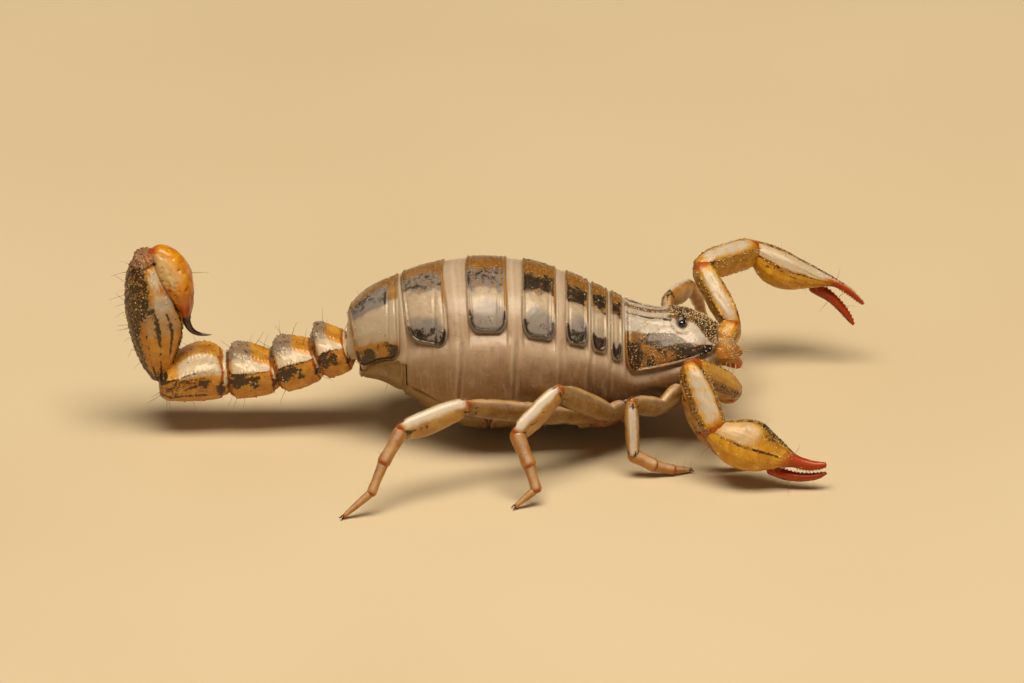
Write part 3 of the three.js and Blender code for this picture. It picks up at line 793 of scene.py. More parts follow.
@dataclass(frozen=True)
class Strewing:
    """One sowing of grains or hairs over the places that a mark allows.

    Sizes are millimetres, and the density is the most in a square millimetre. A hair leans up to so
    many radians, and its thickness is multiplied by stout.
    """

    kind: Scatter
    density: float
    apart: float
    small: float
    large: float
    seed: int
    lean: float = 0.5
    stout: float = 1.4
    hair_tip: float = 0.004
    hair_root: float = 0.012
    hair_bend: float = 0.22

    def tree(self) -> bpy.types.NodeTree:
        """Builds the node tree that strews the pieces.

        Returns:
            A tree with inputs for density, spacing, sizes, lean, seed and material.
        """
        tree = bpy.data.node_groups.new(f"strew_{self.kind.name.lower()}", "GeometryNodeTree")
        face = tree.interface
        face.new_socket("Geometry", in_out="INPUT", socket_type="NodeSocketGeometry")
        for name in ("Density", "Apart", "Small", "Large", "Lean"):
            face.new_socket(name, in_out="INPUT", socket_type="NodeSocketFloat")
        face.new_socket("Seed", in_out="INPUT", socket_type="NodeSocketInt")
        face.new_socket("Material", in_out="INPUT", socket_type="NodeSocketMaterial")
        face.new_socket("Geometry", in_out="OUTPUT", socket_type="NodeSocketGeometry")
        w = Wiring(tree)
        source = w.add("NodeGroupInput").outputs
        factor = w.add("GeometryNodeInputNamedAttribute", {"Name": self.kind.value}, data_type="FLOAT")
        sown = w.add("GeometryNodeDistributePointsOnFaces", {
            "Mesh": source["Geometry"], "Distance Min": source["Apart"],
            "Density Max": source["Density"], "Density Factor": factor.outputs[0],
            "Seed": source["Seed"],
        }, distribute_method="POISSON")
        size = w.add("FunctionNodeRandomValue", {
            2: source["Small"], 3: source["Large"], "Seed": source["Seed"],
        }, data_type="FLOAT").outputs[1]
        if self.kind is Scatter.GRAINS:
            piece = w.add("GeometryNodeMeshIcoSphere", {"Radius": 1.0, "Subdivisions": 1}).outputs[0]
            rotation = sown.outputs["Rotation"]
        else:
            piece = self.hair(w)
            lean = source["Lean"]
            low = w.add("ShaderNodeCombineXYZ", {0: w.times(lean, -1.0), 2: 0.0}).outputs[0]
            high = w.add("ShaderNodeCombineXYZ", {0: lean, 2: math.tau}).outputs[0]
            tilt = w.add("FunctionNodeRandomValue", {
                0: low, 1: high, "Seed": source["Seed"],
            }, data_type="FLOAT_VECTOR").outputs[0]
            turned = w.add("FunctionNodeEulerToRotation", {0: tilt}).outputs[0]
            rotation = w.add("FunctionNodeRotateRotation", {
                0: sown.outputs["Rotation"], 1: turned,
            }, rotation_space="LOCAL").outputs[0]
        placed = w.add("GeometryNodeInstanceOnPoints", {
            "Points": sown.outputs["Points"], "Instance": piece, "Rotation": rotation, "Scale": size,
        })
        real = w.add("GeometryNodeRealizeInstances", {0: placed.outputs[0]})
        soft = w.add("GeometryNodeSetShadeSmooth", {0: real.outputs[0]})
        done = w.add("GeometryNodeSetMaterial", {0: soft.outputs[0], "Material": source["Material"]})
        w.add("NodeGroupOutput", {0: done.outputs[0]})
        return tree

    def hair(self, w: Wiring) -> object:
        """Adds one bent bristle of length 1 to a tree.

        Args:
            w: the wiring of the tree.

        Returns:
            The socket that holds the bristle.
        """
        cone = w.add("GeometryNodeMeshCone", {
            "Vertices": HAIR_SIDES, "Side Segments": HAIR_RINGS - 1, "Radius Top": self.hair_tip * self.stout,
            "Radius Bottom": self.hair_root * self.stout, "Depth": 1.0,
        })
        height = w.add("ShaderNodeSeparateXYZ", {0: w.add("GeometryNodeInputPosition").outputs[0]})
        bend = w.times(w.math("POWER", height.outputs[2], 2.0), self.hair_bend)
        offset = w.add("ShaderNodeCombineXYZ", {0: bend}).outputs[0]
        return w.add("GeometryNodeSetPosition", {0: cone.outputs[0], "Offset": offset}).outputs[0]

    def sow(self, host: Shape, material: bpy.types.Material) -> Shape | None:
        """Strews the pieces over a host and returns them without it.

        Args:
            host: the surface, with the mark that thins or allows them.
            material: the finish that the tree sets.

        Returns:
            The pieces as one shape in millimetres with the host's marks, or None if none stood.
        """
        ground = mesh_object("strewing_ground", host, np.zeros(3), 1.0)
        tree = self.tree()
        modifier = ground.modifiers.new("strewing", "NODES")
        modifier.node_group = tree
        values = {"Density": self.density, "Apart": self.apart, "Small": self.small,
                  "Large": self.large, "Lean": self.lean, "Seed": self.seed, "Material": material}
        for item in tree.interface.items_tree:
            if item.in_out == "INPUT" and item.name in values:
                modifier[item.identifier] = values[item.name]
        scene = bpy.context.scene
        scene.collection.objects.link(ground)
        graph = bpy.context.evaluated_depsgraph_get()
        mesh = bpy.data.meshes.new_from_object(ground.evaluated_get(graph))
        count = len(mesh.vertices)
        points = np.zeros(count * 3)
        mesh.vertices.foreach_get("co", points)
        faces = polygons(mesh)
        marks = {}
        for layer in mesh.attributes:
            if layer.domain == "POINT" and layer.data_type == "FLOAT":
                values = np.zeros(count)
                layer.data.foreach_get("value", values)
                marks[layer.name] = values
        bpy.data.objects.remove(ground)
        bpy.data.meshes.remove(mesh)
        bpy.data.node_groups.remove(tree)
        if not count:
            return None
        shape = Shape(points.reshape(-1, 3), faces, marks)
        return shape.above_floor(HAIR_SIDES * HAIR_RINGS) if self.kind is Scatter.HAIRS else shape


def polygons(mesh: bpy.types.Mesh) -> list[Grid]:
    """Reads the faces of a mesh, in arrays by their number of corners.

    Args:
        mesh: the mesh.

    Returns:
        One array for each number of corners.
    """
    totals = np.zeros(len(mesh.polygons), int)
    starts = np.zeros(len(mesh.polygons), int)
    corners = np.zeros(len(mesh.loops), int)
    mesh.polygons.foreach_get("loop_total", totals)
    mesh.polygons.foreach_get("loop_start", starts)
    mesh.loops.foreach_get("vertex_index", corners)
    return [corners[starts[totals == n][:, None] + np.arange(n)] for n in np.unique(totals)]


def mesh_object(name: str, shape: Shape, shift: Grid, scale: float) -> bpy.types.Object:
    """Makes an object of a shape.

    Args:
        name: the object's name.
        shape: the shape in millimetres.
        shift: what is added to each place after scaling.
        scale: what each place is multiplied by.

    Returns:
        An object at the origin that is not yet linked to the scene.
    """
    mesh = bpy.data.meshes.new(name)
    points = shape.points * scale + shift
    corners = np.concatenate([block.reshape(-1) for block in shape.faces])
    totals = np.concatenate([np.full(len(block), block.shape[1]) for block in shape.faces])
    starts = np.concatenate([[0], np.cumsum(totals)[:-1]])
    mesh.vertices.add(len(points))
    mesh.vertices.foreach_set("co", points.reshape(-1))
    mesh.loops.add(len(corners))
    mesh.loops.foreach_set("vertex_index", corners)
    mesh.polygons.add(len(totals))
    mesh.polygons.foreach_set("loop_start", starts)
    mesh.polygons.foreach_set("loop_total", totals)
    mesh.polygons.foreach_set("use_smooth", np.ones(len(totals), bool))
    mesh.update(calc_edges=True)
    mesh.validate()
    for mark, values in shape.marks.items():
        layer = mesh.attributes.new(mark, "FLOAT", "POINT")
        layer.data.foreach_set("value", np.asarray(values, float))
    return bpy.data.objects.new(name, mesh)


# ---------------- the workshop

class Workshop:
    """Keeps the finishes and the frame, and turns shapes into pieces of the model."""

    eye_x: float = 10.5

    def __init__(self) -> None:
        """Finds where the solids stand and builds every finish."""
        corners = [*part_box("eye_median_right"), *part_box("eye_median_left")]
        middle = sum(corners, Vector()) / len(corners)
        self.shift = np.array([middle.x - self.eye_x * MM, middle.y, 0.0])
        self.finishes = {coating: coating.value.build() for coating in Coating}
        self.count = 0

    def point(self, x: float, y: float, z: float) -> Vector:
        """A place in the animal's frame as metres in the frame of the solids."""
        return Vector(np.array([x, y, z]) * MM + self.shift)

    def make(self, name: str, shape: Shape, coating: Coating,
             nodes: Sequence[str] = ()) -> bpy.types.Object:
        """Turns a shape into a finished piece.

        Args:
            name: the piece's name.
            shape: its shape in millimetres.
            coating: its finish.
            nodes: the solids that it stands for.

        Returns:
            The piece, riding on the animal.
        """
        piece = mesh_object(name, shape, self.shift, MM)
        bpy.context.scene.collection.objects.link(piece)
        piece.data.materials.append(self.finishes[coating])
        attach(piece, "root")
        if nodes:
            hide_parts(*nodes)
        triangles = sum(len(block) * (block.shape[1] - 2) for block in shape.faces)
        self.count += triangles
        LOG.info("%s: %d triangles", name, triangles)
        return piece

    def strew(self, name: str, host: Shape, strewing: Strewing, coating: Coating) -> None:
        """Strews grains or hairs over a host and keeps them as a piece of their own.

        Args:
            name: the piece's name.
            host: the surface that carries them.
            strewing: how they stand.
            coating: their finish.
        """
        shape = strewing.sow(host, self.finishes[coating])
        if shape is None:
            LOG.info("%s: nothing stands here", name)
            return
        piece = self.make(name, shape, coating)
        if strewing.kind is Scatter.HAIRS:
            self.unwrap(piece, shape)

    @staticmethod
    def unwrap(piece: bpy.types.Object, shape: Shape) -> None:
        """Gives each hair a small patch of the map at its root's place on the body below.

        Args:
            piece: the hairs.
            shape: their shape, with the marks of their roots.
        """
        corners = np.zeros(len(piece.data.loops), int)
        piece.data.loops.foreach_get("vertex_index", corners)
        order = np.arange(len(shape.points))
        blank = np.zeros(len(shape.points))
        u = shape.marks.get("around", blank) * (1 - HAIR_PATCH) + order % HAIR_SIDES / HAIR_SIDES * HAIR_PATCH
        ring = order // HAIR_SIDES % HAIR_RINGS / HAIR_RINGS
        v = shape.marks.get("lane", blank) * (1 - HAIR_PATCH) + ring * HAIR_PATCH
        layer = piece.data.uv_layers.new(name="OFBake")
        layer.data.foreach_set("uv", np.stack([u[corners], v[corners]], -1).reshape(-1))


def lanes(shapes: Sequence[Shape]) -> Shape:
    """Joins shapes and gives each its own lane of a shared map.

    Args:
        shapes: bodies whose marks tell the place along and around them.

    Returns:
        One shape whose mark "lane" runs through the lanes in turn.
    """
    for number, shape in enumerate(shapes):
        shape.marks["lane"] = (number + shape.marks["along"]) / len(shapes)
    return joined(shapes)


# ---------------- trunk

@dataclass
class Trunk:
    """The soft body with its back plates, belly plates, carapace and eyes.

    Rows of the outline are a place, the half width, the height of the middle and the depth below it. Rows
    of the plates are the rear and front edge and the half angle that they cover; those of the tergites
    also tell how far the low ends of both edges stand forward. The wraps are the half angles covered along
    the whole back, in step with the tergites and the carapace. Rows of the blots are a place, degrees from
    the back, two sizes and a strength.
    """

    outline: Table = (
        (-10.4, 2.1, 5.72, 1.6), (-10.0, 2.38, 5.94, 1.95), (-9.2, 2.8, 6.32, 2.45), (-7.9, 3.25, 6.7, 3.2),
        (-5.5, 4.4, 6.42, 4.4), (-2.9, 5.3, 5.95, 5.3), (0.6, 5.3, 5.82, 5.2),
        (3.5, 4.88, 5.38, 4.55), (6.0, 4.2, 4.9, 3.55), (7.9, 3.58, 4.68, 2.9),
        (10.5, 3.06, 4.72, 2.7), (11.7, 2.8, 4.83, 2.5), (12.9, 2.05, 4.95, 1.9),
    )
    tergites: Table = (
        (6.1, 6.9, 66, 0.05, 0.05), (4.9, 6.0, 61, 0, 0), (3.3, 4.8, 59, 0, 0),
        (0.6, 2.75, 59, 0, 0.05), (-2.95, -0.35, 57, 0.2, 0.15), (-7.0, -4.3, 71, 0.45, 0.45),
        (-10.3, -7.1, 96, 0.75, 0.15),
    )
    last_wrap: Table = ((-10.4, 122), (-9.4, 112), (-8.8, 105), (-7.8, 98), (-7.0, 92))
    sternites: Table = (
        (1.35, 3.7, 50), (-1.35, 1.15, 52), (-4.05, -1.55, 54), (-6.75, -4.25, 60), (-9.55, -6.6, 84),
    )
    last_belly: Table = ((-9.55, 44), (-9.2, 58), (-8.8, 70), (-7.6, 83), (-6.6, 92))
    carapace_ends: Row = (7.02, 12.9)
    grainy: Table = ((7.0, 3), (9.4, 3), (10.2, 11), (11.3, 15), (12.2, 37), (12.9, 46))
    # the lower edge, in degrees from the back, of the painted sheen on the carapace
    sheen_low: Table = ((7.0, 33), (9.0, 31), (10.0, 31), (10.8, 37), (11.5, 43), (12.2, 43), (12.9, 40))
    blots: Table = (
        (7.66, 61, 0.36, 12, 0.95), (8.7, 40, 0.5, 6, 0.6), (9.8, 41, 0.8, 9, 0.8), (10.6, 48, 0.5, 8, 0.7),
        (11.0, 56, 0.45, 7, 0.7), (9.2, 44, 0.35, 8, 0.55), (12.1, 55, 0.45, 8, 1.2),
        (8.6, 66, 0.3, 6, 0.3), (10.4, 66, 0.3, 5, 0.35),
    )
    carapace_wrap: Table = ((7.0, 78), (10.0, 71), (12.0, 62), (12.9, 52))
    wraps: Table = (
        (-10.3, 122), (-9.4, 112), (-8.4, 101), (-5.65, 71), (-1.65, 57), (1.675, 59), (4.05, 59),
        (5.45, 61), (6.5, 66), (7.6, 77), (10.0, 71), (12.0, 62), (12.9, 52),
    )
    hill: Row = (10.35, 0.3, 1.0, 0.95)
    eye: Row = (10.6, 0.9, 0.28)
    small_eyes: Table = ((12.36, 53, 0.17), (12.1, 57, 0.17), (11.83, 60, 0.13))
    creases: Table = ((-7.0, 0.8), (-3.6, 1.25), (0.12, 1.25), (3.0, 1.0), (4.85, 0.6), (6.05, 0.45))
    thick: float = 0.26
    bed: float = 0.34
    skin_ends: Row = (-10.3, 12.84)
    skin_rings: int = 300
    skin_sides: int = 288

    def on(self, x: Grid, angle: Grid, inset: Grid | float) -> Grid:
        """Places on the trunk.

        Args:
            x: places along the body.
            angle: radians from the back, positive to the left.
            inset: depth under the full outline.

        Returns:
            The points.
        """
        x, angle = np.broadcast_arrays(x, angle)
        radius, height, depth = np.moveaxis(follow(self.outline, x), -1, 0)
        down = np.where(np.cos(angle) > 0, radius, depth)
        y = (radius - inset) * np.sin(angle)
        return np.stack([x, y, height + (down - inset) * np.cos(angle)], -1)

    def wrap_at(self, x: Grid) -> Grid:
        """The half angle in degrees that plates cover at places along the back."""
        return read(self.wraps, x)

    def skin(self) -> Shape:
        """The one soft skin from the tail to the mouth, with its folds.

        Returns:
            The closed skin with marks for its colours.
        """
        x_line = np.linspace(*self.skin_ends, self.skin_rings)
        turn = np.linspace(-math.pi, math.pi, self.skin_sides, endpoint=False)
        x, angle = np.meshgrid(x_line, turn, indexing="ij")
        side = np.abs(np.degrees(angle))
        wrap = self.wrap_at(x)
        back = step(side, wrap + 13, wrap - 3)
        between = np.ones_like(x)
        low = unit(side / wrap) ** 1.3
        for rear, front, _, rear_lean, front_lean in self.tergites:
            first, last = rear + rear_lean * low, front + front_lean * low
            between *= 1 - band(x, first + 0.12, last - 0.12, 0.12)
        between *= 1 - step(x, 7.0, 7.2)
        inset = back * (self.bed - (self.bed - 0.1) * between)
        belly = np.zeros_like(x)
        for rear, front, half in self.sternites:
            belly += band(x, rear, front, 0.1) * step(180 - side, half + 3, half - 1)
        inset += belly * (self.thick - 0.04)
        flank = step(side, wrap, wrap + 10) * step(side, 178, 130)
        fold, pale = np.zeros_like(x), np.zeros_like(x)
        for line, deep in self.creases:
            lean = line + 0.14 * np.sin(np.radians(side * 2.2)) + 0.08 * ripple(side / 50, x * 0.2, 15, 0.8)
            lean += 0.45 * step(side, 10, 90) * step(x, 0.5, -3.5)
            uneven = 0.75 + 0.35 * ripple(side / 45, x * 0, 16 + int(line), 0.8)
            fold += deep * uneven * (0.1 * bell(x, lean - 0.34, 0.32) + 0.07 * bell(x, lean + 0.4, 0.3)
                                     - 0.17 * bell(x, lean + 0.03, 0.12))
            # painted sheen: pale lines along the edges of each fold
            pale += deep * uneven * (0.55 * bell(x, lean - 0.17, 0.12) + 0.25 * bell(x, lean + 0.2, 0.08))
        sag = 0.07 * ripple(x * 0.35, side / 70, 5, 0.45) + 0.025 * ripple(x, side / 40, 8, 0.9)
        plump = 0.09 * bell(side, 112, 26)
        inset -= flank * (fold + sag + plump * step(x, 8.5, 7))
        mouth = step(x, 12.2, 12.84)
        inset += 0.5 * mouth
        radius = read(self.outline, x)
        end = -9.85 + 0.7 * unit(side / 110) ** 1.3
        rear = unit((end - x) / 0.45)
        inset += (1 - np.sqrt(np.clip(1 - rear**2, 0.16, 1))) * (radius - 0.9)
        points = self.on(x, angle, inset)
        # darker towards the belly; the extra darkening under the head shield's edge and just under the edges
        # of the first plates is painted shade
        under = step(x, 7.1, 7.6) * step(side, wrap + 15, wrap + 24)
        down = unit((side - wrap - 2) / (160 - wrap)) + 0.25 * under
        down += 0.42 * step(x, 1.5, 5.5) * step(side, wrap + 4, wrap + 22)
        numbers = {
            "down": np.where(side < wrap, 0.0, down),
            # pale: painted sheen on the fold edges and just under the plates; pale skin with painted sheen
            # between the plates on the top; a pale rear end
            "pale": np.clip(pale * (0.35 + 0.5 * step(side, 150, wrap + 6)), 0, 0.75)
            + 0.3 * bell(side, wrap + 10, 8) * step(x, 7.2, 6.8) + 0.35 * step(side, 50, 30)
            + 0.9 * step(x, end - 0.1, end - 0.3),
            # dark: painted shade under the head shield and under the edges of the first plates
            "dark": 0.5 * under * step(side, wrap + 18, wrap + 40)
            + 0.24 * step(x, 2.0, 6.0) * step(side, wrap + 3, wrap + 12) * step(side, 160, 120),
            "along": (x + 10.3) / 23.2,
            "around": (angle + math.pi) / math.tau,
        }
        return tube(points, numbers)

    def plate(self, rear: float, front: float, wrap: Rule, facing: float, rows: int, columns: int,
              relief: Rule | None = None, corner: Row = (0.42, 12),
              lean: Row = (0.0, 0.0)) -> tuple:
        """One curved plate on the trunk, with rounded edges and a fine lip.

        Args:
            rear: place of its rear edge.
            front: place of its front edge.
            wrap: half angle that it covers, from places along the body.
            facing: 0 on the back, 180 under the belly.
            rows: rows of corners along the body.
            columns: columns of corners round it.
            relief: added height, from x and degrees.
            corner: how much of the length the rounded ends lose, and how sharply.
            lean: how far the low ends of the rear and the front edge stand forward.

        Returns:
            The outer and inner sheet, and the grids of x, degrees and distance to the edge.
        """
        u = np.sin(np.linspace(-math.pi / 2, math.pi / 2, rows)) / 2
        v = np.sin(np.linspace(-math.pi / 2, math.pi / 2, columns) * 0.93) / math.sin(0.465 * math.pi) / 2
        u, v = np.meshgrid(u, v, indexing="ij")
        keep = 1 - corner[0] * np.abs(2 * v) ** corner[1]
        x = (rear + front) / 2 + u * (front - rear) * keep
        x = x + np.abs(2 * v) ** 1.3 * (lean[0] * (0.5 - u) + lean[1] * (0.5 + u))
        reach = wrap(x)
        degrees = v * 2 * reach
        radius = read(self.outline, x)
        to_end = (0.5 - np.abs(u)) * (front - rear) * keep
        to_side = (0.5 - np.abs(v)) * 2 * np.radians(reach) * radius
        edge = np.minimum(to_end, to_side)
        edge = edge - 0.06 * bell(to_end, to_side, 0.12) * np.minimum(1, edge / 0.1)
        half = self.thick / 2
        round_off = half - np.sqrt(np.clip(half**2 - (half - np.clip(edge, 0, half)) ** 2, 0, None))
        lip = 0.045 * bell(edge, 0.13, 0.05) - 0.035 * bell(edge, 0.27, 0.06)
        height = lip - round_off
        if relief is not None:
            height += relief(x, degrees) * step(edge, 0.02, 0.2)
        turn = np.radians(degrees) + math.radians(facing)
        outer = self.on(x, turn, -height)
        inner = self.on(x, turn, self.thick - round_off)
        return outer, inner, x, degrees, edge

    def tergite(self, number: int) -> Shape:
        """One back plate, the first lying just behind the carapace.

        Args:
            number: 1 to 7.

        Returns:
            The closed plate.
        """
        rear, front, wrap, *lean = self.tergites[number - 1]
        length = front - rear
        last = number == 7
        seam = rear + 0.8 * length

        def relief(x: Grid, degrees: Grid) -> Grid:
            """Shallow waves, a line across the front and a swelling of each half.

            Args:
                x: places along the body.
                degrees: degrees from the middle line.

            Returns:
                The added height.
            """
            side = np.abs(degrees)
            height = 0.03 * bell(side, wrap * 0.52, 14) - 0.05 * bell(x, seam, 0.07)
            height += 0.014 * ripple(x, degrees / 14, 20 + number, 0.7)
            if last:
                height += 0.1 * bell(side, 30, 6) * step(x, -7.4, -9.2)
                height += 0.07 * bell(side, 62, 6) * step(x, -7.8, -9.3)
            return height

        rows = max(20, int(length / 0.05))
        outer, inner, x, degrees, edge = self.plate(
            rear, front,
            lambda place: read(self.last_wrap, place) if last else np.full_like(place, wrap),
            0, rows, 190, relief, (0.42, 12) if not last else (0.3, 18), lean)
        side = np.abs(degrees - 7) * np.where(degrees > 7, (wrap + 7) / (wrap - 7), 1)
        side += 3.0 * ripple(x * 0.9, degrees / 12, 40 + number, 0.75)
        low = unit(np.abs(degrees) / wrap) ** 1.3
        across = (x - rear - lean[0] * low) / (length + (lean[1] - lean[0]) * low)
        inside = step(edge, 0.07, 0.16)
        reach = wrap - 10
        border = step(edge, 0.34, 0.14) * step(side, reach - 4, reach + 6)
        # painted sheen: the pale band where the plate faces the overhead light
        sheen_band = band(side, 34, reach + 1, 6) * band(across, 0.04, 0.88 + 0.1 * step(side, 40, 54), 0.06)
        arch = 10 * (2 * across - 1) ** 2
        loose = side + 3.0 * ripple(x * 1.3, degrees / 9, 60 + number, 1.0)
        upper = band(loose, 15, 29, 8) * band(across, 0.05, 0.9, 0.08)
        lower = band(side, reach + arch, wrap + 14, 12) * band(across, 0.1, 0.9, 0.14)
        grit = (0.46 if number in (5, 6) else 0.66) * upper + (0.32 if number in (4, 5) else 0.54) * lower
        haze = unit(0.85 + 0.6 * ripple(x * 2.2, degrees / 6, 80 + number, 0.8))
        slate = (0.9 if number > 4 else 0.5) * upper * haze + (0.85 if number > 2 else 0.5) * lower
        if last:
            upper = band(side, 15, 40, 7) * band(across, 0.1, 0.72, 0.12)
            spots = bell(across, 0.25, 0.22) * step(side, 80, 94)
            spots += bell(across, 0.85, 0.16) * step(side, 72, 88)
            spots += 0.5 * bell(across, 0.55, 0.2) * bell(side, 86, 8)
            grit = 0.46 * upper + 0.75 * spots
            grit += 0.75 * bell(across, 0.72 - 0.0012 * (side - 40), 0.018) * band(side, 24, 76, 6)
            slate = 0.9 * upper
            sheen_band = 1.15 * band(side, 40, 76, 10) * band(across, 0.1, 0.97, 0.12)
        numbers = {
            "dark": inside * (grit + 0.9 * border) - 0.3 * sheen_band,
            "pale": unit(0.75 * step(edge, 0.07, 0.02) + 0.8 * sheen_band),
            "slate": slate,
            "warm": unit(0.8 * step(side, 15, 9) + 0.7 * last * step(side, 70, 84)
                         + 0.7 * (1 - last) * step(across, 0.86, 0.94) * step(side, 44, 28)),
            "grain": 0.9 * step(side, 20, 8) + 0.3 * bell(across, 0.06, 0.1) + 0.15 * upper,
            "strewn": 0.5 * step(side, 24, 8) * step(edge, 0.05, 0.2) + 0.35 * bell(across, 0.05, 0.05),
            "bristle": 0.15 * bell(across, 0.1, 0.1),
            "along": across,
            "around": 0.5 + degrees / 360,
        }
        return pillow(outer, inner, numbers)

    def sternite(self, number: int) -> Shape:
        """One belly plate with its two breathing slits.

        Args:
            number: 3 to 7.

        Returns:
            The closed plate.
        """
        rear, front, wrap = self.sternites[number - 3]

        def relief(x: Grid, degrees: Grid) -> Grid:
            """Two slits with raised lips, or two low keels on the last plate.

            Args:
                x: places along the body.
                degrees: degrees from the middle line.

            Returns:
                The added height.
            """
            if number == 7:
                keels = 0.06 * (bell(np.abs(degrees), 14, 3) + bell(np.abs(degrees), 34, 3))
                return keels - 0.14 * step(x, -7.3, -6.7)
            out = np.hypot((np.abs(degrees) - wrap * 0.56) / 7.0, (x - rear - 0.9) / 0.16)
            return 0.05 * bell(out, 1.2, 0.4) - 0.14 * bell(out, 0, 0.7)

        outer, inner, x, degrees, edge = self.plate(
            rear, front,
            lambda place: read(self.last_belly, place) if number == 7 else np.full_like(place, wrap),
            180, 44, 120, relief, (0.3, 14) if number < 7 else (0.12, 20))
        out = np.hypot((np.abs(degrees) - wrap * 0.56) / 7.0, (x - rear - 0.9) / 0.16)
        numbers = {
            "dark": (number < 7) * (0.9 * bell(out, 0, 0.9) + 0.25 * bell(edge, 0.2, 0.08)),
            "pale": 0.5 * step(edge, 0.12, 0.03),
            "bristle": 0.4 * step(edge, 0.1, 0.3),
            "along": (x - rear) / (front - rear),
            "around": 0.5 + degrees / 360,
        }
        return pillow(outer, inner, numbers)

    def hill_at(self, x: Grid, y: Grid) -> Grid:
        """The low hill that carries the two middle eyes."""
        middle, height, length, width = self.hill
        return height * bell(x, middle, length) * bell(y, 0, width)

    def carapace(self) -> Shape:
        """The shield over the head, with its eye hill, crests and furrows.

        Returns:
            The closed shield.
        """
        rear, front = self.carapace_ends
        eye_x, eye_y, eye_r = self.eye

        def relief(x: Grid, degrees: Grid) -> Grid:
            """Crests over the eyes, a furrow down the middle, and shallow hollows beside it.

            Args:
                x: places along the body.
                degrees: degrees from the middle line.

            Returns:
                The added height.
            """
            radius = read(self.outline, x)
            y = radius * np.sin(np.radians(degrees))
            side = np.abs(degrees)
            crest = 0.2 * bell(np.abs(y), 0.5, 0.17) * band(x, 9.8, 11.1, 0.5)
            rows = 0.05 * bell(np.abs(y), 0.98 - 0.1 * (x - 10), 0.1) * band(x, 7.3, 9.9, 0.3)
            furrow = -0.1 * bell(y, 0, 0.13) * (1 - 0.3 * band(x, 10, 11, 0.3))
            socket = -0.1 * bell(np.hypot(x - eye_x, np.abs(y) - eye_y), eye_r * 1.15, 0.08)
            hollow = -0.06 * bell(np.hypot((x - 9.1) / 1.2, (side - 42) / 16), 0, 1)
            cheek = 0.07 * bell(np.hypot((x - 10.9) / 1.3, (side - 48) / 13), 0, 1)
            cross = -0.03 * bell(x, 8.1 + 0.25 * np.cos(np.radians(side * 2)), 0.14) * step(side, 45, 60)
            wave = 0.012 * ripple(x, degrees / 14, 3, 0.8)
            return crest + rows + furrow + socket + hollow + cheek + cross + wave

        outer, inner, x, degrees, edge = self.plate(
            rear, front, lambda place: read(self.carapace_wrap, place), 0, 130, 230,
            relief, (0.16, 9))
        hill = self.hill_at(x, outer[..., 1])
        outer[..., 2] += hill
        inner[..., 2] += hill
        y = np.abs(outer[..., 1])
        side = np.abs(degrees) + 2.0 * ripple(x * 1.2, degrees / 12, 77, 0.5)
        blots = sum(
            deep * bell(x, place, long) * bell(side, degree, tall)
            for place, degree, long, tall, deep in self.blots)
        limit = read(self.grainy, x)
        top = step(side, limit + 3, limit - 3)
        line = bell(side, 14.5, 2.0) * band(x, 7.1, 9.9, 0.2)
        strip = band(side, 4, 11, 2) * step(x, 10.1, 9.6)
        low = read(self.sheen_low, x)
        # gloss: painted sheen of the overhead light, pale over the shell and lightening its dark marks
        gloss = band(side, 17, low, 7) * (1 - top)
        gloss *= np.clip(0.9 + 0.35 * ripple(x * 1.7, degrees / 9, 78, 0.6), 0.2, 1)
        gap = np.hypot(x - self.eye[0], y - self.eye[1])
        socket = step(gap, 0.46, 0.3)
        brow = bell(gap, 0.74, 0.09) * step(x, 11.2, 10.8)
        inside = step(edge, 0.07, 0.18)
        numbers = {
            "dark": inside * (blots + 0.48 * top + 0.34 * step(side, low - 3, low + 6)) + 0.9 * line
            + 0.6 * socket + 0.5 * brow + 0.3 * bell(edge, 0.2, 0.04)
            - 0.4 * gloss * (1 - socket) - 0.3 * strip,
            "pale": unit(0.5 * step(edge, 0.06, 0.02) * step(side, 50, 40)
                            + 0.95 * gloss * (1 - 0.9 * socket) * (1 - 0.5 * brow) + 0.7 * strip),
            "slate": 0.2 * band(side, low - 6, low, 6) * (1 - top),
            "warm": step(side, low + 2, low + 14),
            "grain": unit(1.2 * top + 0.4 * step(side, low, low + 10) + 0.6 * brow),
            "strewn": unit(1.0 * top + 0.36 * step(side, low - 4, low + 8) + 0.06)
            * step(edge, 0.06, 0.2) * (1 - socket) + 0.5 * brow,
            "bristle": 0.25 * step(x, 12.2, 12.8),
            "along": (x - rear) / (front - rear),
            "around": 0.5 + degrees / 360,
        }
        return pillow(outer, inner, numbers)

    def eyes(self, workshop: Workshop) -> None:
        """Seats the two middle eyes and the three small eyes at each front corner.

        Args:
            workshop: what turns the balls into pieces.
        """
        eye_x, eye_y, eye_r = self.eye
        angle = np.array(math.asin(eye_y / float(follow(self.outline, np.array(eye_x))[0])))
        back = self.on(np.array(eye_x), angle, 0.0)
        z = float(back[2] + self.hill_at(np.array(eye_x), np.array(eye_y)) - 0.14)
        for side, name in SIDES:
            lens = ball((eye_x, side * eye_y, z), (eye_r, eye_r, eye_r), 20)
            workshop.make(f"lens_median_{name}", lens, Coating.EYE, [f"eye_median_{name}"])
            beads = []
            for x, degrees, size in self.small_eyes:
                place = self.on(np.array(x), np.array(math.radians(degrees) * side), -0.03)
                beads.append(ball(place, (size, size, size), 12))
            workshop.make(f"lens_lateral_{name}", joined(beads), Coating.EYE)

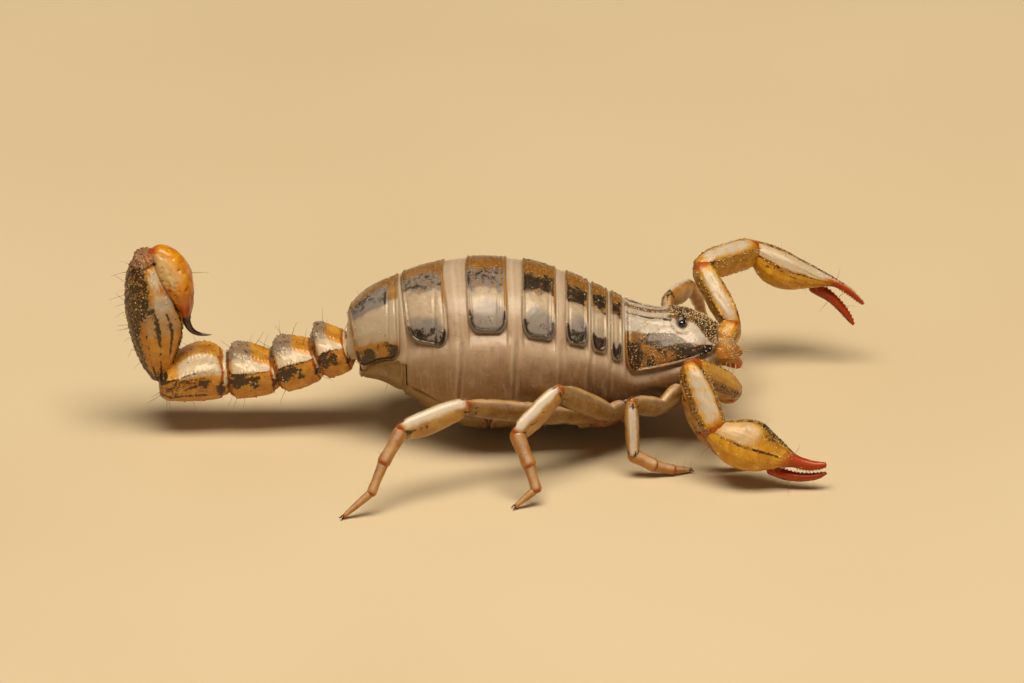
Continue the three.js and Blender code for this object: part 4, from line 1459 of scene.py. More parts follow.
    def build(self, workshop: Workshop) -> None:
        """Builds and dresses the whole trunk.

        Args:
            workshop: what turns shapes into pieces.
        """
        workshop.make("skin_trunk", self.skin(), Coating.MEMBRANE, ["abdomen", "underside"])
        backs = [self.tergite(number) for number in range(1, 8)]
        for number, shape in enumerate(backs, 1):
            workshop.make(f"back_plate_{number}", shape, Coating.TERGITE,
                          [f"tergite_{number}"])
        bellies = [self.sternite(number) for number in range(3, 8)]
        for number, shape in enumerate(bellies, 3):
            workshop.make(f"belly_plate_{number}", shape, Coating.STERNITE,
                          [f"sternite_{number}"])
        shield = self.carapace()
        workshop.make("head_shield", shield, Coating.CARAPACE, ["carapace"])
        self.eyes(workshop)
        grains = Strewing(Scatter.GRAINS, 22, 0.12, 0.025, 0.055, 11)
        workshop.strew("grains_back", joined(backs), grains, Coating.GRAIN)
        grains = Strewing(Scatter.GRAINS, 60, 0.11, 0.03, 0.07, 12)
        workshop.strew("grains_head", shield, grains, Coating.GRAIN)
        hairs = Strewing(Scatter.HAIRS, 0.6, 0.5, 0.35, 0.8, 13)
        workshop.strew("hairs_trunk", lanes([*backs, *bellies, shield]), hairs, Coating.BRISTLE)


# ---------------- jaws, combs and coxae

@dataclass
class Jaws:
    """The two chelicerae with their hooked and toothed fingers."""

    y: float = 0.72
    rear: float = 12.6
    wrist: float = 13.75
    palm: Table = ((0, 0.68, 0.66, 0.6), (0.3, 0.66, 0.62, 0.56), (0.62, 0.52, 0.44, 0.42),
                   (0.85, 0.34, 0.26, 0.28), (1, 0.2, 0.14, 0.16))
    finger: Table = ((0, 1.1), (0.4, 0.95), (0.8, 0.6), (1, 0.25))
    teeth: Row = (0.35, 0.52, 0.68)

    def jaw(self, side: int) -> Shape:
        """One jaw with its two fingers and their teeth.

        Args:
            side: 1 for the left jaw, -1 for the right.

        Returns:
            The jaw as one mesh.
        """
        y = side * self.y
        hand = Body(
            curved([(self.rear, y, 5.5), (13.1, y, 5.42), (self.wrist - 0.1, y * 0.98, 5.16),
                    (14.05, y * 0.94, 4.92), (14.3, y * 0.9, 4.74)]), UP,
            lambda t: follow(self.palm, t), 90, 60, 0.9, 0.6)

        def rough(t: Grid, a: Grid) -> Grid:
            """Two keels over the hand, small lumps and a groove before the finger.

            Args:
                t: places along it.
                a: angles round it.

            Returns:
                The added height.
            """
            keels = 0.05 * (ridge(a, 55, 8) + ridge(a, 125, 8)) * step(t, 0.75, 0.5)
            lumps = 0.025 * ripple(t * 6, a * 1.5, 23, 0.9)
            return keels + lumps - 0.06 * bell(t, 0.6, 0.03) * ridge(a, 90, 70)

        shape = [hand.build(rough, lambda t, a: {
            "dark": 0.4 * bell(t, 0.5, 0.14) * ridge(a, 90, 60) + 0.45 * step(t, 0.9, 1),
            "warm": unit(0.6 * step(t, 0.6, 0.9) + 0.6 * ridge(a, 270, 50)),
            "pale": 0.6 * ridge(a, 90 + 50 * side, 25) * step(t, 0.7, 0.4),
            "grain": 0.8 * step(t, 0.25, 0.5) * step(t, 0.9, 0.8) * ridge(a, 90, 70),
            "strewn": step(t, 0.15, 0.4) * step(t, 0.85, 0.7) * ridge(a, 90, 60),
            "bristle": step(t, 0.4, 0.75) * step(t, 0.98, 0.9),
        })]
        off = 0.2 * side
        finger = curved([(13.3, y + off, 4.94), (13.7, y + off * 1.15, 4.8), (14.05, y + off, 4.62),
                         (14.26, y + off * 0.6, 4.56)])
        body = Body(finger, UP, swelling(0.2, self.finger), 26, 24, 1.0, 1.0)
        shape.append(body.build(None, lambda t, a: {
            "warm": step(t, 0.0, 0.4), "dark": 0.4 * step(t, 0.8, 1), "bristle": 0.8 * step(t, 0.6, 0.2),
        }))
        for place in self.teeth:
            root = finger(np.array([place]))[0]
            tooth = Body(straight(root, root + [0.04, 0, 0.26]), (1, 0, 0),
                         swelling(0.07, ((0, 1), (1, 0.25))), 6, 10, 1.0, 1.0, 3)
            shape.append(tooth.build(None, lambda t, a: {"dark": 0.6, "warm": 1.0}))
        return joined(shape)

    def build(self, workshop: Workshop) -> None:
        """Builds both jaws and their bristles.

        Args:
            workshop: what turns shapes into pieces.
        """
        both = []
        for side, name in SIDES:
            shape = self.jaw(side)
            both.append(shape)
            workshop.make(f"jaw_{name}", shape, Coating.JAW, [f"chelicera_{name}"])
        host = lanes(both)
        workshop.strew("grains_jaws", host, Strewing(Scatter.GRAINS, 60, 0.1, 0.03, 0.06, 21),
                       Coating.GRAIN)
        workshop.strew("hairs_jaws", host, Strewing(Scatter.HAIRS, 9, 0.12, 0.5, 1.0, 22, 0.7, 2.2),
                       Coating.GRAIN)


@dataclass
class Underparts:
    """The combs, the coxae of the legs and the small plates between them."""

    trunk: Trunk
    root: Row = (5.75, 0.5)
    tip: Row = (4.9, 3.25)
    teeth: int = 11
    coxa_ends: Table = ((10.6, 0.6), (9.5, 0.75), (8.0, 0.7), (6.7, 0.7))
    plates: Table = ((7.7, 0.0, 0.75, 0.42, 0.3), (6.75, 0.0, 0.35, 0.75, 0.28), (6.1, 0.05, 0.3, 0.6, 0.3))

    def below(self, x: float, y: float, drop: float) -> Grid:
        """A place under the belly."""
        radius, height, depth = follow(self.trunk.outline, np.array(x))
        return np.array([x, y, height - depth * math.sqrt(max(0.0, 1 - (y / radius) ** 2)) - drop])

    def comb(self, side: int) -> Shape:
        """One comb: a jointed spine, a row of beads and the teeth behind it.

        Args:
            side: 1 for the left comb, -1 for the right.

        Returns:
            The comb as one mesh.
        """
        (x0, y0), (x1, y1) = self.root, self.tip

        def at(share: float, back: float = 0.0) -> Grid:
            """A place on the comb's line, or behind it."""
            return self.below(x0 + (x1 - x0) * share - back, side * (y0 + (y1 - y0) * share), 0.4)

        def marks(t: Grid, a: Grid) -> Marks:
            """Warm ends and a few bristles."""
            return {"warm": 0.4 * bell(t, 0, 0.1), "bristle": 0.5}

        parts = []
        for low, high in ((0.0, 0.36), (0.34, 0.7), (0.68, 1.0)):
            body = Body(straight(at(low), at(high)), UP,
                        swelling(0.24, ((0, 0.86), (0.5, 1), (1, 0.86)), 1.1), 16, 20, 0.9, 0.5)
            parts.append(body.build(None, marks))
        for number in range(self.teeth):
            share = 0.08 + 0.87 * number / (self.teeth - 1)
            root, end = at(share, 0.24), at(share, 0.86 - 0.12 * abs(share - 0.5))
            tooth = Body(straight(root, end), UP,
                         swelling(0.2, ((0, 0.5), (0.4, 0.62), (0.8, 0.68), (1, 0.5)), 0.62), 10, 12)
            parts.append(tooth.build(None, marks))
            parts.append(ball(at(share, 0.26) + [0, 0, -0.05], (0.14, 0.13, 0.12), 6))
        return joined(parts)

    def coxa(self, joints: Table, side: int, half: float, inner: Row) -> Shape:
        """The root of one leg, from its first joint to the middle of the underside.

        Args:
            joints: the joints of the leg.
            side: 1 on the left, -1 on the right.
            half: half thickness of the leg's root.
            inner: place along and across the body where the coxa ends.

        Returns:
            The closed coxa.
        """
        x, out, z = joints[0]
        low = self.below(inner[0], side * inner[1], -0.25)
        start = np.array([x, side * out, z])
        body = Body(straight(low, start, 0.1), UP,
                    swelling(half * 1.5, ((0, 0.62), (0.4, 0.95), (0.8, 1), (1, 0.86)), 1.0), 30, 28, 0.88)
        return body.build(
            lambda t, a: 0.05 * ridge(a, 200, 9) + 0.04 * ridge(a, 320, 9),
            lambda t, a: {
                "dark": 0.35 * bell(t, 1, 0.1) + 0.3 * ridge(a, 90, 50),
                "warm": 0.7 * bell(t, 1, 0.07),
                "pale": 0.3 * ridge(a, 180, 30),
                "bristle": 0.4,
            })

    def build(self, workshop: Workshop, legs: "Legs") -> None:
        """Builds the combs, the coxae and the plates between them.

        Args:
            workshop: what turns shapes into pieces.
            legs: the eight legs.
        """
        for side, name in SIDES:
            workshop.make(f"comb_{name}", self.comb(side), Coating.COMB, [f"pecten_{name}"])
        roots = [self.coxa(leg.joints, leg.side, leg.half[0], self.coxa_ends[leg.number - 1])
                 for leg in legs.legs]
        roots += [ball(self.below(x, 0, drop), half, 14) for x, drop, *half in self.plates]
        workshop.make("leg_roots", joined(roots), Coating.COXA)


# ---------------- tail

@dataclass
class Tail:
    """The five tail segments, the venom bulb and the sting.

    The swell is the share of a segment's size from its front to its rear end. The backs are shares of its
    depth above, which the rises lift towards the rear. Rows of the fifth segment are a place, the half
    width, and the depth above and below. Rows of the bulb and the sting are x, z, the half width and the
    half depth.
    """

    joints: Table = (
        (-10.15, 5.7), (-12.0, 5.05), (-14.6, 4.15), (-17.6, 3.78), (-21.95, 3.72), (-23.0, 11.95),
    )
    halves: Table = ((1.72, 1.55), (1.8, 1.6), (1.84, 1.6), (1.88, 1.66))
    swell: Table = (
        (0, 0.7), (0.06, 0.8), (0.14, 0.9), (0.3, 0.97), (0.5, 1), (0.8, 1), (0.93, 0.97), (1, 0.86),
    )
    back: Table = (
        (0, 0.46), (0.12, 0.58), (0.3, 0.76), (0.5, 0.94), (0.66, 1.06), (0.8, 1.1), (0.92, 1.0), (1, 0.8),
    )
    fourth_back: Table = (
        (0, 0.55), (0.1, 0.78), (0.25, 1.06), (0.42, 1.12), (0.6, 0.98), (0.8, 0.66), (0.92, 0.5), (1, 0.42),
    )
    first_rise: float = 0.22
    rise: float = 0.04
    fifth: Table = (
        (0, 1.0, 0.75, 0.72), (0.12, 1.35, 1.0, 1.12), (0.28, 1.66, 1.62, 1.42),
        (0.45, 1.74, 1.98, 1.56), (0.6, 1.68, 1.7, 1.58), (0.8, 1.5, 1.12, 1.34),
        (0.92, 1.25, 0.74, 0.98), (1, 1.0, 0.6, 0.62),
    )
    bulb: Table = (
        (-22.5, 12.02, 0.45, 0.42), (-22.0, 11.95, 0.85, 0.74), (-21.45, 11.4, 1.2, 0.98),
        (-20.98, 10.45, 1.32, 1.06), (-20.7, 9.5, 1.26, 0.9), (-20.5, 8.6, 0.9, 0.62),
        (-20.42, 7.75, 0.42, 0.36), (-20.36, 7.45, 0.3, 0.28),
    )
    sting: Table = (
        (-20.4, 7.66, 0.3, 0.29), (-20.27, 7.2, 0.24, 0.24), (-20.1, 6.85, 0.2, 0.2),
        (-19.86, 6.6, 0.16, 0.16), (-19.5, 6.45, 0.115, 0.115), (-19.1, 6.4, 0.07, 0.07),
        (-18.78, 6.41, 0.02, 0.02),
    )
    sides: int = 168

    def upper_profile(self, number: int) -> Table:
        """How the back of a segment rises: low at the front, highest before its rear end.

        Args:
            number: 1 to 4, from the body backwards.

        Returns:
            Rows of a place and a share of the depth.
        """
        if number == 4:
            return self.fourth_back
        rise = self.first_rise if number == 1 else self.rise
        return tuple((t, share * (1 + rise * t)) for t, share in self.back)

    @staticmethod
    def lateral(a: Grid) -> Grid:
        """Degrees from the side of the tail, up to 90 on its back and down to -90 below."""
        right = (np.degrees(a) + 90) % 360 - 90
        return np.where(right > 90, 180 - right, right)

    def segment(self, number: int) -> Shape:
        """One of the first four segments.

        Args:
            number: 1 to 4, from the body backwards.

        Returns:
            The closed segment with marks for its pattern.
        """
        (x0, z0), (x1, z1) = self.joints[number - 1], self.joints[number]
        width, height = self.halves[number - 1]

        def halves(t: Grid) -> Grid:
            """Half width, depth above and depth below."""
            share, top = read(self.swell, t), read(self.upper_profile(number), t)
            return np.stack([width * share, height * top, height * share], -1)

        def relief(t: Grid, a: Grid) -> Grid:
            """Keels with uneven beads, flat faces between them, and a furrow down the back.

            Args:
                t: places along it.
                a: angles round it.

            Returns:
                The added height.
            """
            side = self.lateral(a)
            wander = ripple(t * 3, a, 55 + number, 0.8)
            beads = 0.65 + 0.35 * np.cos(t * math.tau * (8 + 2 * number) + 3 * wander)
            grow = step(t, 0.04, 0.24) * step(t, 1.0, 0.93)
            slope = 24 - 14 * (t - 0.5)
            crest = 0.06 * bell(side, 66, 6)
            keel = 0.1 * bell(side, slope, 4.5) + 0.05 * bell(side, -48, 5)
            flat = -0.09 * bell(side, 44, 12) - 0.05 * bell(side, -12, 16)
            furrow = -0.16 * ridge(a, 90, 12)
            wave = 0.03 * ripple(t * 4, side / 28, 50 + number, 0.7)
            collar = -0.08 * bell(t, 0.1, 0.018) - 0.05 * bell(t, 0.95, 0.015)
            return grow * ((crest + keel) * beads + flat + furrow) + wave * step(t, 0.02, 0.15) + collar

        def marks(t: Grid, a: Grid) -> Marks:
            """A painted sheen on the sloping faces, a grey hump, dark lines on the keels and ragged blotches.

            Args:
                t: places along it.
                a: angles round it.

            Returns:
                The named numbers.
            """
            side = self.lateral(a) + 4 * ripple(t * 2, a, 60 + number, 0.6)
            t = t + 0.03 * ripple(t * 2, a * 1.5, 65 + number, 0.6)
            slope = 24 - 14 * (t - 0.5)
            ring = band(t, 0.03, 0.08, 0.015) * step(side, -12, 4)
            # face: painted sheen where the sloping faces, and the dome of the fourth segment, face the
            # overhead light
            if number == 4:
                face = 0.9 * band(side, 22, 60, 10) * band(t, 0.2, 0.7, 0.12)
                patch = 0.4 * band(side, -20, 15, 12) * band(t, 0.36, 1.0, 0.2)
                patch += 0.6 * bell(side, -27, 4) * band(t, 0.35, 0.98, 0.12)
                patch += 0.75 * bell(t, 0.12, 0.08) * band(side, -32, 0, 8)
                rim = band(side, 8, 60, 8) * step(t, 0.9, 0.95)
                hump = 0.0
            else:
                face = band(side, slope + 3, 62, 8) * band(t, 0.17, 0.88, 0.08)
                face = 0.9 * face * step(side - slope, 16 + 44 * t, 6 + 38 * t)
                patch = 0.95 * bell(t, 0.84, 0.18) * bell(side, 2, 16)
                patch += 0.72 * bell(t, 0.5, 0.18) * bell(side, 10, 9)
                patch += 0.8 * bell(t, 0.47, 0.13) * bell(side, -9, 7)
                patch += 0.8 * bell(t, 0.1, 0.09) * bell(side, -12, 12)
                rim = 0.6 * bell(t, 0.985, 0.02) * step(side, 10, 30)
                hump = band(side, 56, 100, 10) * step(t, 0.4, 0.6)
            line = bell(side, slope, 3.0) * band(t, 0.12, 0.94, 0.04)
            ends = bell(t, 0.125, 0.025) + bell(t, 1.0, 0.04) + bell(t, 0, 0.012)
            spot = bell(t, 0.06, 0.06) * bell(side, -2, 14)
            return {
                "dark": 0.85 * line + patch + 0.1 * step(side, -20, 0) * (1 - face) + 0.9 * rim + 0.18 * hump
                - 0.5 * face - 0.4 * ring,
                "pale": unit(0.95 * face + 0.95 * ring + 0.4 * hump),
                "warm": unit(0.7 * ends + 0.9 * spot) * (1 - ring * step(side, 14, 30)),
                "slate": 0.6 * hump,
                "grain": 0.2 * hump + 0.3 * line,
                "strewn": unit(0.4 * hump + 0.5 * line + 0.25 * patch + 0.2 * band(side, 56, 95, 6)
                                  + 0.05 * step(t, 0.1, 0.3)),
                "bristle": 0.35 + 0.9 * band(side, -80, -40, 8) + 0.7 * hump,
            }

        body = Body(straight((x0, 0, z0), (x1, 0, z1), -0.02), UP, halves,
                    max(64, int(math.dist((x0, z0), (x1, z1)) / 0.04)), self.sides, 0.88, 0.3)
        return body.build(relief, marks)

    def last_segment(self) -> Shape:
        """The long fifth segment, which stands upright with its back towards the bulb.

        Returns:
            The closed segment with marks for its pattern.
        """
        (x0, z0), (x1, z1) = self.joints[4], self.joints[5]

        def relief(t: Grid, a: Grid) -> Grid:
            """A beaded keel on each side of the back, and a coarse ventral half.

            Args:
                t: places along it.
                a: angles round it.

            Returns:
                The added height.
            """
            side = self.lateral(a)
            wander = ripple(t * 8, a, 36, 0.8)
            beads = 0.5 + 0.5 * np.cos(t * math.tau * 27 + 3 * wander)
            crest = 0.09 * beads * bell(side, 66, 4)
            furrow = -0.2 * ridge(a, 90, 13)
            flat = -0.05 * bell(side, 20, 18)
            under = step(side, -10, -38)
            rough = 0.04 * under * ripple(t * 20, a * 5, 31, 0.9) + 0.03 * ripple(t * 8, side / 28, 37, 0.8)
            cap = 0.13 * band(t, 0.955, 1, 0.01) * ripple(t * 9, a * 1.6, 38, 0.8)
            cap = cap - 0.1 * bell(t, 0.945, 0.015) + 0.12 * bell(t, 0.97, 0.012) * ridge(a, 140, 25)
            return (crest + furrow + flat) * band(t, 0.1, 0.95, 0.05) + rough * step(t, 0.03, 0.1) + cap

        def marks(t: Grid, a: Grid) -> Marks:
            """A dark grainy ventral half, stripes down the side, a dark line by the back and a painted sheen.

            Args:
                t: places along it.
                a: angles round it.

            Returns:
                The named numbers.
            """
            side = self.lateral(a) + 5 * ripple(t * 5, a, 71, 0.8)
            reach = -30 + 34 * step(t, 0.3, 0.8)
            under = step(side, reach + 12, reach - 8)
            crest = bell(side, 66, 4) * band(t, 0.06, 0.94, 0.04)
            broken = 0.8 + 0.35 * ripple(t * 7, a * 2, 72, 0.9)
            stripes = broken * (bell(side, 6, 4.5) * step(t, 0.72, 0.55)
                                + 0.8 * bell(side, -12, 4) * step(t, 0.5, 0.4)
                                + 0.95 * bell(side, 34, 4) * band(t, 0.22, 0.56, 0.06))
            # gloss: painted sheen where the side faces the overhead light; the pale flecks on the cap are
            # painted highlights
            gloss = band(side, 14, 62, 12) * step(t, 0.5, 0.7) * step(t, 0.97, 0.9)
            gloss *= np.clip(0.75 + 0.7 * ripple(t * 6, a * 1.5, 73, 0.8), 0.1, 1)
            mauve = band(side, -6, 50, 12) * band(t, 0.44, 0.66, 0.1)
            cap = step(t, 0.93, 0.96)
            under *= 1 - 0.7 * cap
            return {
                "dark": 0.68 * under + 1.0 * crest + 0.8 * stripes - 0.45 * gloss
                + 0.5 * bell(t, 0.06, 0.05) * step(side, 20, -10) + 0.2 * cap + 0.2 * mauve,
                "pale": unit(0.95 * gloss + 0.35 * mauve + 0.5 * bell(t, 0.97, 0.012)
                                + 0.4 * cap * step(ripple(t * 9, a * 1.6, 39, 0.8), 0.1, 0.5)),
                "slate": 0.4 * mauve + 0.15 * under + 0.2 * cap,
                "warm": unit(0.6 * cap + 0.7 * bell(t, 0, 0.05)),
                "grain": unit(0.6 * under + crest + 0.5 * cap),
                "strewn": unit((0.8 * under + 1.2 * crest) * step(t, 0.06, 0.2) + 0.5 * cap
                                  + 0.3 * band(side, -10, 60, 10) * step(t, 0.35, 0.5)),
                "bristle": 0.3 + 0.6 * under,
            }

        body = Body(straight((x0, 0, z0), (x1, 0, z1)), (1.0, 0.0, 0.0),
                    lambda t: follow(self.fifth, t), 210, self.sides, 0.88, 0.35)
        return body.build(relief, marks)

    @staticmethod
    def midline(stations: Table, rings: int, sides: int) -> Body:
        """A body in the plane of the tail, from rows of x, z, half width and half depth.

        Args:
            stations: the rows, from the root to the tip.
            rings: rings of corners along it.
            sides: corners round it.

        Returns:
            The body, ready to build.
        """
        table = np.asarray(stations, float)
        line = curved(np.column_stack([table[:, 0], np.zeros(len(table)), table[:, 1]]))
        gaps = np.hypot(*np.diff(table[:, :2], axis=0).T)
        places = np.concatenate([[0], np.cumsum(gaps)]) / gaps.sum()
        sizes = np.column_stack([places, table[:, 2], table[:, 3], table[:, 3]])
        return Body(line, (1.0, 0.0, 0.6), lambda t: follow(sizes, t), rings, sides, 1.0, 0.5)

    def build(self, workshop: Workshop) -> None:
        """Builds the tail with its grains and bristles.

        Args:
            workshop: what turns shapes into pieces.
        """
        hosts = []
        for number in range(1, 5):
            hosts.append(self.segment(number))
            workshop.make(f"tail_segment_{number}", hosts[-1], Coating.TAIL, [f"tail_{number}"])
        hosts.append(self.last_segment())
        workshop.make("tail_segment_5", hosts[-1], Coating.TAIL, ["tail_5"])
        pit_places = np.random.default_rng(9).uniform((0.08, 0), (0.75, math.tau), (110, 2))

        def pits(t: Grid, a: Grid) -> Grid:
            """Small scattered pits over soft uneven waves.

            Args:
                t: places along it.
                a: angles round it.

            Returns:
                The added height.
            """
            height = 0.06 * ripple(t * 2, a, 17, 0.6) + 0.02 * ripple(t * 7, a * 2, 18, 0.8)
            for place, turn in pit_places:
                gap = np.abs((a - turn + math.pi) % math.tau - math.pi)
                height -= 0.09 * bell(t, place, 0.018) * bell(gap, 0, 0.1)
            return height

        def glow(t: Grid, a: Grid) -> Marks:
            """Golden with a painted highlight patch above, orange below and red towards the sting."""
            return {
                # pale: painted highlight of the overhead light on the upper part of the bulb
                "pale": 0.85 * band(t, 0.07, 0.36, 0.16) * ridge(a, 190, 50)
                + 0.3 * bell(t, 0.5, 0.1) * ridge(a, 190, 20),
                "warm": unit(0.95 * step(t, 0.5, 0.88) + 0.4 * ridge(a, 90, 40)
                                * step(t, 0.05, 0.3) + 0.9 * bell(t, 0, 0.06)),
                "dark": 0.9 * step(t, 0.88, 1.0) + 0.2 * step(t, 0.6, 0.9)
                + 0.25 * ridge(a, 90, 30) * step(t, 0.3, 0.6),
                "grain": 0.25,
                "bristle": 0.6 * band(t, 0.3, 0.8, 0.1),
            }

        hosts.append(self.midline(self.bulb, 110, 96).build(pits, glow))
        workshop.make("venom_bulb", hosts[-1], Coating.BULB, ["telson"])
        point = self.midline(self.sting, 70, 28).build(None, lambda t, a: {"warm": step(t, 0.35, 0)})
        workshop.make("sting_point", point, Coating.CLAW, ["sting"])
        host = lanes(hosts)
        workshop.strew("grains_tail", host, Strewing(Scatter.GRAINS, 26, 0.15, 0.035, 0.085, 31),
                       Coating.TAIL_GRAIN)
        workshop.strew("hairs_tail", host, Strewing(Scatter.HAIRS, 0.8, 0.5, 0.6, 1.15, 32, 0.35),
                       Coating.BRISTLE)


# ---------------- legs

@dataclass
class Leg:
    """One walking leg from its trochanter to its claws."""

    number: int
    side: int
    joints: Table
    half: Row
    swell: Table = ((0, 0.66), (0.1, 0.84), (0.25, 0.97), (0.5, 1), (0.8, 0.92), (0.94, 0.8), (1, 0.66))
    slim: Table = ((0, 0.86), (0.08, 1), (0.6, 0.86), (0.94, 0.92), (1, 0.8))
    first_slim: int = 3
    flatness: float = 0.74

    @property
    def name(self) -> str:
        """The name that the solids of this leg share."""
        return f"leg_{self.number}_{'left' if self.side > 0 else 'right'}"

    def joint(self, n: int) -> Grid:
        """The place of one joint."""
        x, out, z = self.joints[n]
        return np.array([x, self.side * out, z])

    def piece(self, n: int) -> Shape:
        """One straight piece of the leg.

        Args:
            n: 0 for the trochanter to 5 for the last piece of the foot.

        Returns:
            The closed piece with marks for its pattern.
        """
        slim = n >= self.first_slim
        last = n == 5
        swell = self.slim if slim else self.swell
        if last:
            swell = ((0, 0.86), (0.1, 1), (0.6, 0.8), (1, 0.5))
        flat = (1.0 if slim else self.flatness) * (0.9 if n == 2 else 1.0)
        half = self.half[n]
        start, end = self.joint(n), self.joint(n + 1)
        # the direction of the face that carries the painted sheen of the overhead light
        sheen = facing(start, end, UP, (0, 0.62 * self.side, 0.78))
        outer = facing(start, end, UP, (0, 0.9 * self.side, 0.43))

        def halves(t: Grid) -> Grid:
            """Half width, depth above and depth below.

            Args:
                t: places along it.

            Returns:
                The half sizes at each place.
            """
            share = read(swell, t) * half
            below = share * (1 + (0.22 * bell(t, 0.62, 0.25) if n == 2 else 0.0))
            return np.stack([share * flat, share, below], -1)

        def relief(t: Grid, a: Grid) -> Grid:
            """Fine keels along the back and the lower edge, and a knuckle at each end.

            Args:
                t: places along it.
                a: angles round it.

            Returns:
                The added height.
            """
            keel = 0.035 * ridge(a, 90, 10) + 0.03 * ridge(a, 270, 10)
            bulge = 0.05 * (bell(t, 0.97, 0.03) + bell(t, 0.03, 0.03)) * ridge(a, 0, 40)
            return keel * band(t, 0.12, 0.9, 0.08) + bulge + 0.008 * ripple(t * 5, a, 80 + n, 0.8)

        def marks(t: Grid, a: Grid) -> Marks:
            """Dark edges, a painted sheen on the back, and an orange spot at each joint.

            Args:
                t: places along it.
                a: angles round it.

            Returns:
                The named numbers.
            """
            wild = 8 * ripple(t * 4, a, 84 + n + self.number, 0.9)
            above, below = turn_gap(a, 90) + wild, turn_gap(a, 270) + wild
            lit = turn_gap(a, sheen) + wild
            spot = ridge(a, outer, 42)
            ends = bell(t, 1.0, 0.055) * spot + 0.8 * bell(t, 0.0, 0.04) * spot + 0.5 * bell(t, 1.0, 0.02)
            # shine: painted sheen of the overhead light, whitest on the patella
            shine = step(lit, 54, 14) * band(t, 0.1, 0.88, 0.14)
            dark = {
                0: 0.3 * bell(above, 0, 20),
                1: 0.62 * bell(above, 0, 9) + 0.45 * bell(below, 0, 9) + 0.4 * bell(t, 0.92, 0.08) + 0.12,
                2: 0.5 * bell(lit, 56, 9) * step(t, 0.2, 0.7) + 0.5 * bell(t, 0.92, 0.05)
                + 0.6 * bell(above, 8, 7) + 0.45 * bell(t, 0.06, 0.05) + 0.1 * bell(lit, 80, 25),
                3: 0.5 * bell(lit, 10, 12) * band(t, 0.1, 0.8, 0.1) + 0.3 * bell(t, 0.95, 0.05),
            }.get(n, 0.35 * bell(t, 0.05, 0.06) + 0.2 * bell(lit, 0, 20))
            return {
                "dark": dark - 0.25 * shine,
                "pale": (0.9 if n == 2 else 0.42) * shine + (0.3 * bell(below, 0, 40) if n == 2 else 0),
                "slate": (0.6 if n < 2 else 0.0) * step(above, 10, 50),
                "warm": unit((1.0 if n in (1, 2) else 0.5) * ends + (0.32 if n > 2 else 0)),
                "grain": 0.4 * bell(above, 0, 12),
                "strewn": 0.3 * bell(above, 0, 10),
                "bristle": (0.25 if n < 3 else 0.9),
            }

        rings, sides = (34, 28) if n < 3 else (24, 20)
        line = straight(start, end, -0.02 if last else 0.1)
        body = Body(line, UP, halves, rings, sides, 0.94, 0.6, 4)
        return body.build(relief, marks)

    def claws(self) -> list[Shape]:
        """The two hooked claws at the tip of the foot.

        Returns:
            The closed claws.
        """
        tip, back = self.joint(6), self.joint(5)
        ahead = (tip - back) / np.linalg.norm(tip - back)
        flat = np.array([ahead[0], ahead[1], 0])
        flat = flat / np.linalg.norm(flat)
        across = np.array([-flat[1], flat[0], 0])
        made = []
        for hand in (-1, 1):
            root = tip + across * 0.07 * hand - ahead * 0.12
            z = max(0.03, float(tip[2]) - 0.1)
            way = [root, root + ahead * 0.16 + across * 0.06 * hand + [0, 0, 0.05],
                   root + ahead * 0.3 + across * 0.1 * hand]
            way.append(np.array([*(root + flat * 0.34 + across * 0.12 * hand)[:2], z]))
            way = [np.array([p[0], p[1], max(p[2], 0.045)]) for p in way]
            body = Body(curved(way), UP, swelling(0.055, ((0, 1), (0.5, 0.8), (1, 0.3))), 12, 10, 1.0, 1.0, 3)
            made.append(body.build())
        return made

    def upper(self) -> Shape:
        """The trochanter and the femur."""
        return joined([self.piece(0), self.piece(1)])

    def lower(self) -> Shape:
        """The patella, the tibia and the foot.

        Returns:
            The pieces in one shape.
        """
        shape = joined([self.piece(n) for n in range(2, 6)])
        shape.points[:, 2] = np.maximum(shape.points[:, 2], 0.0)
        return shape


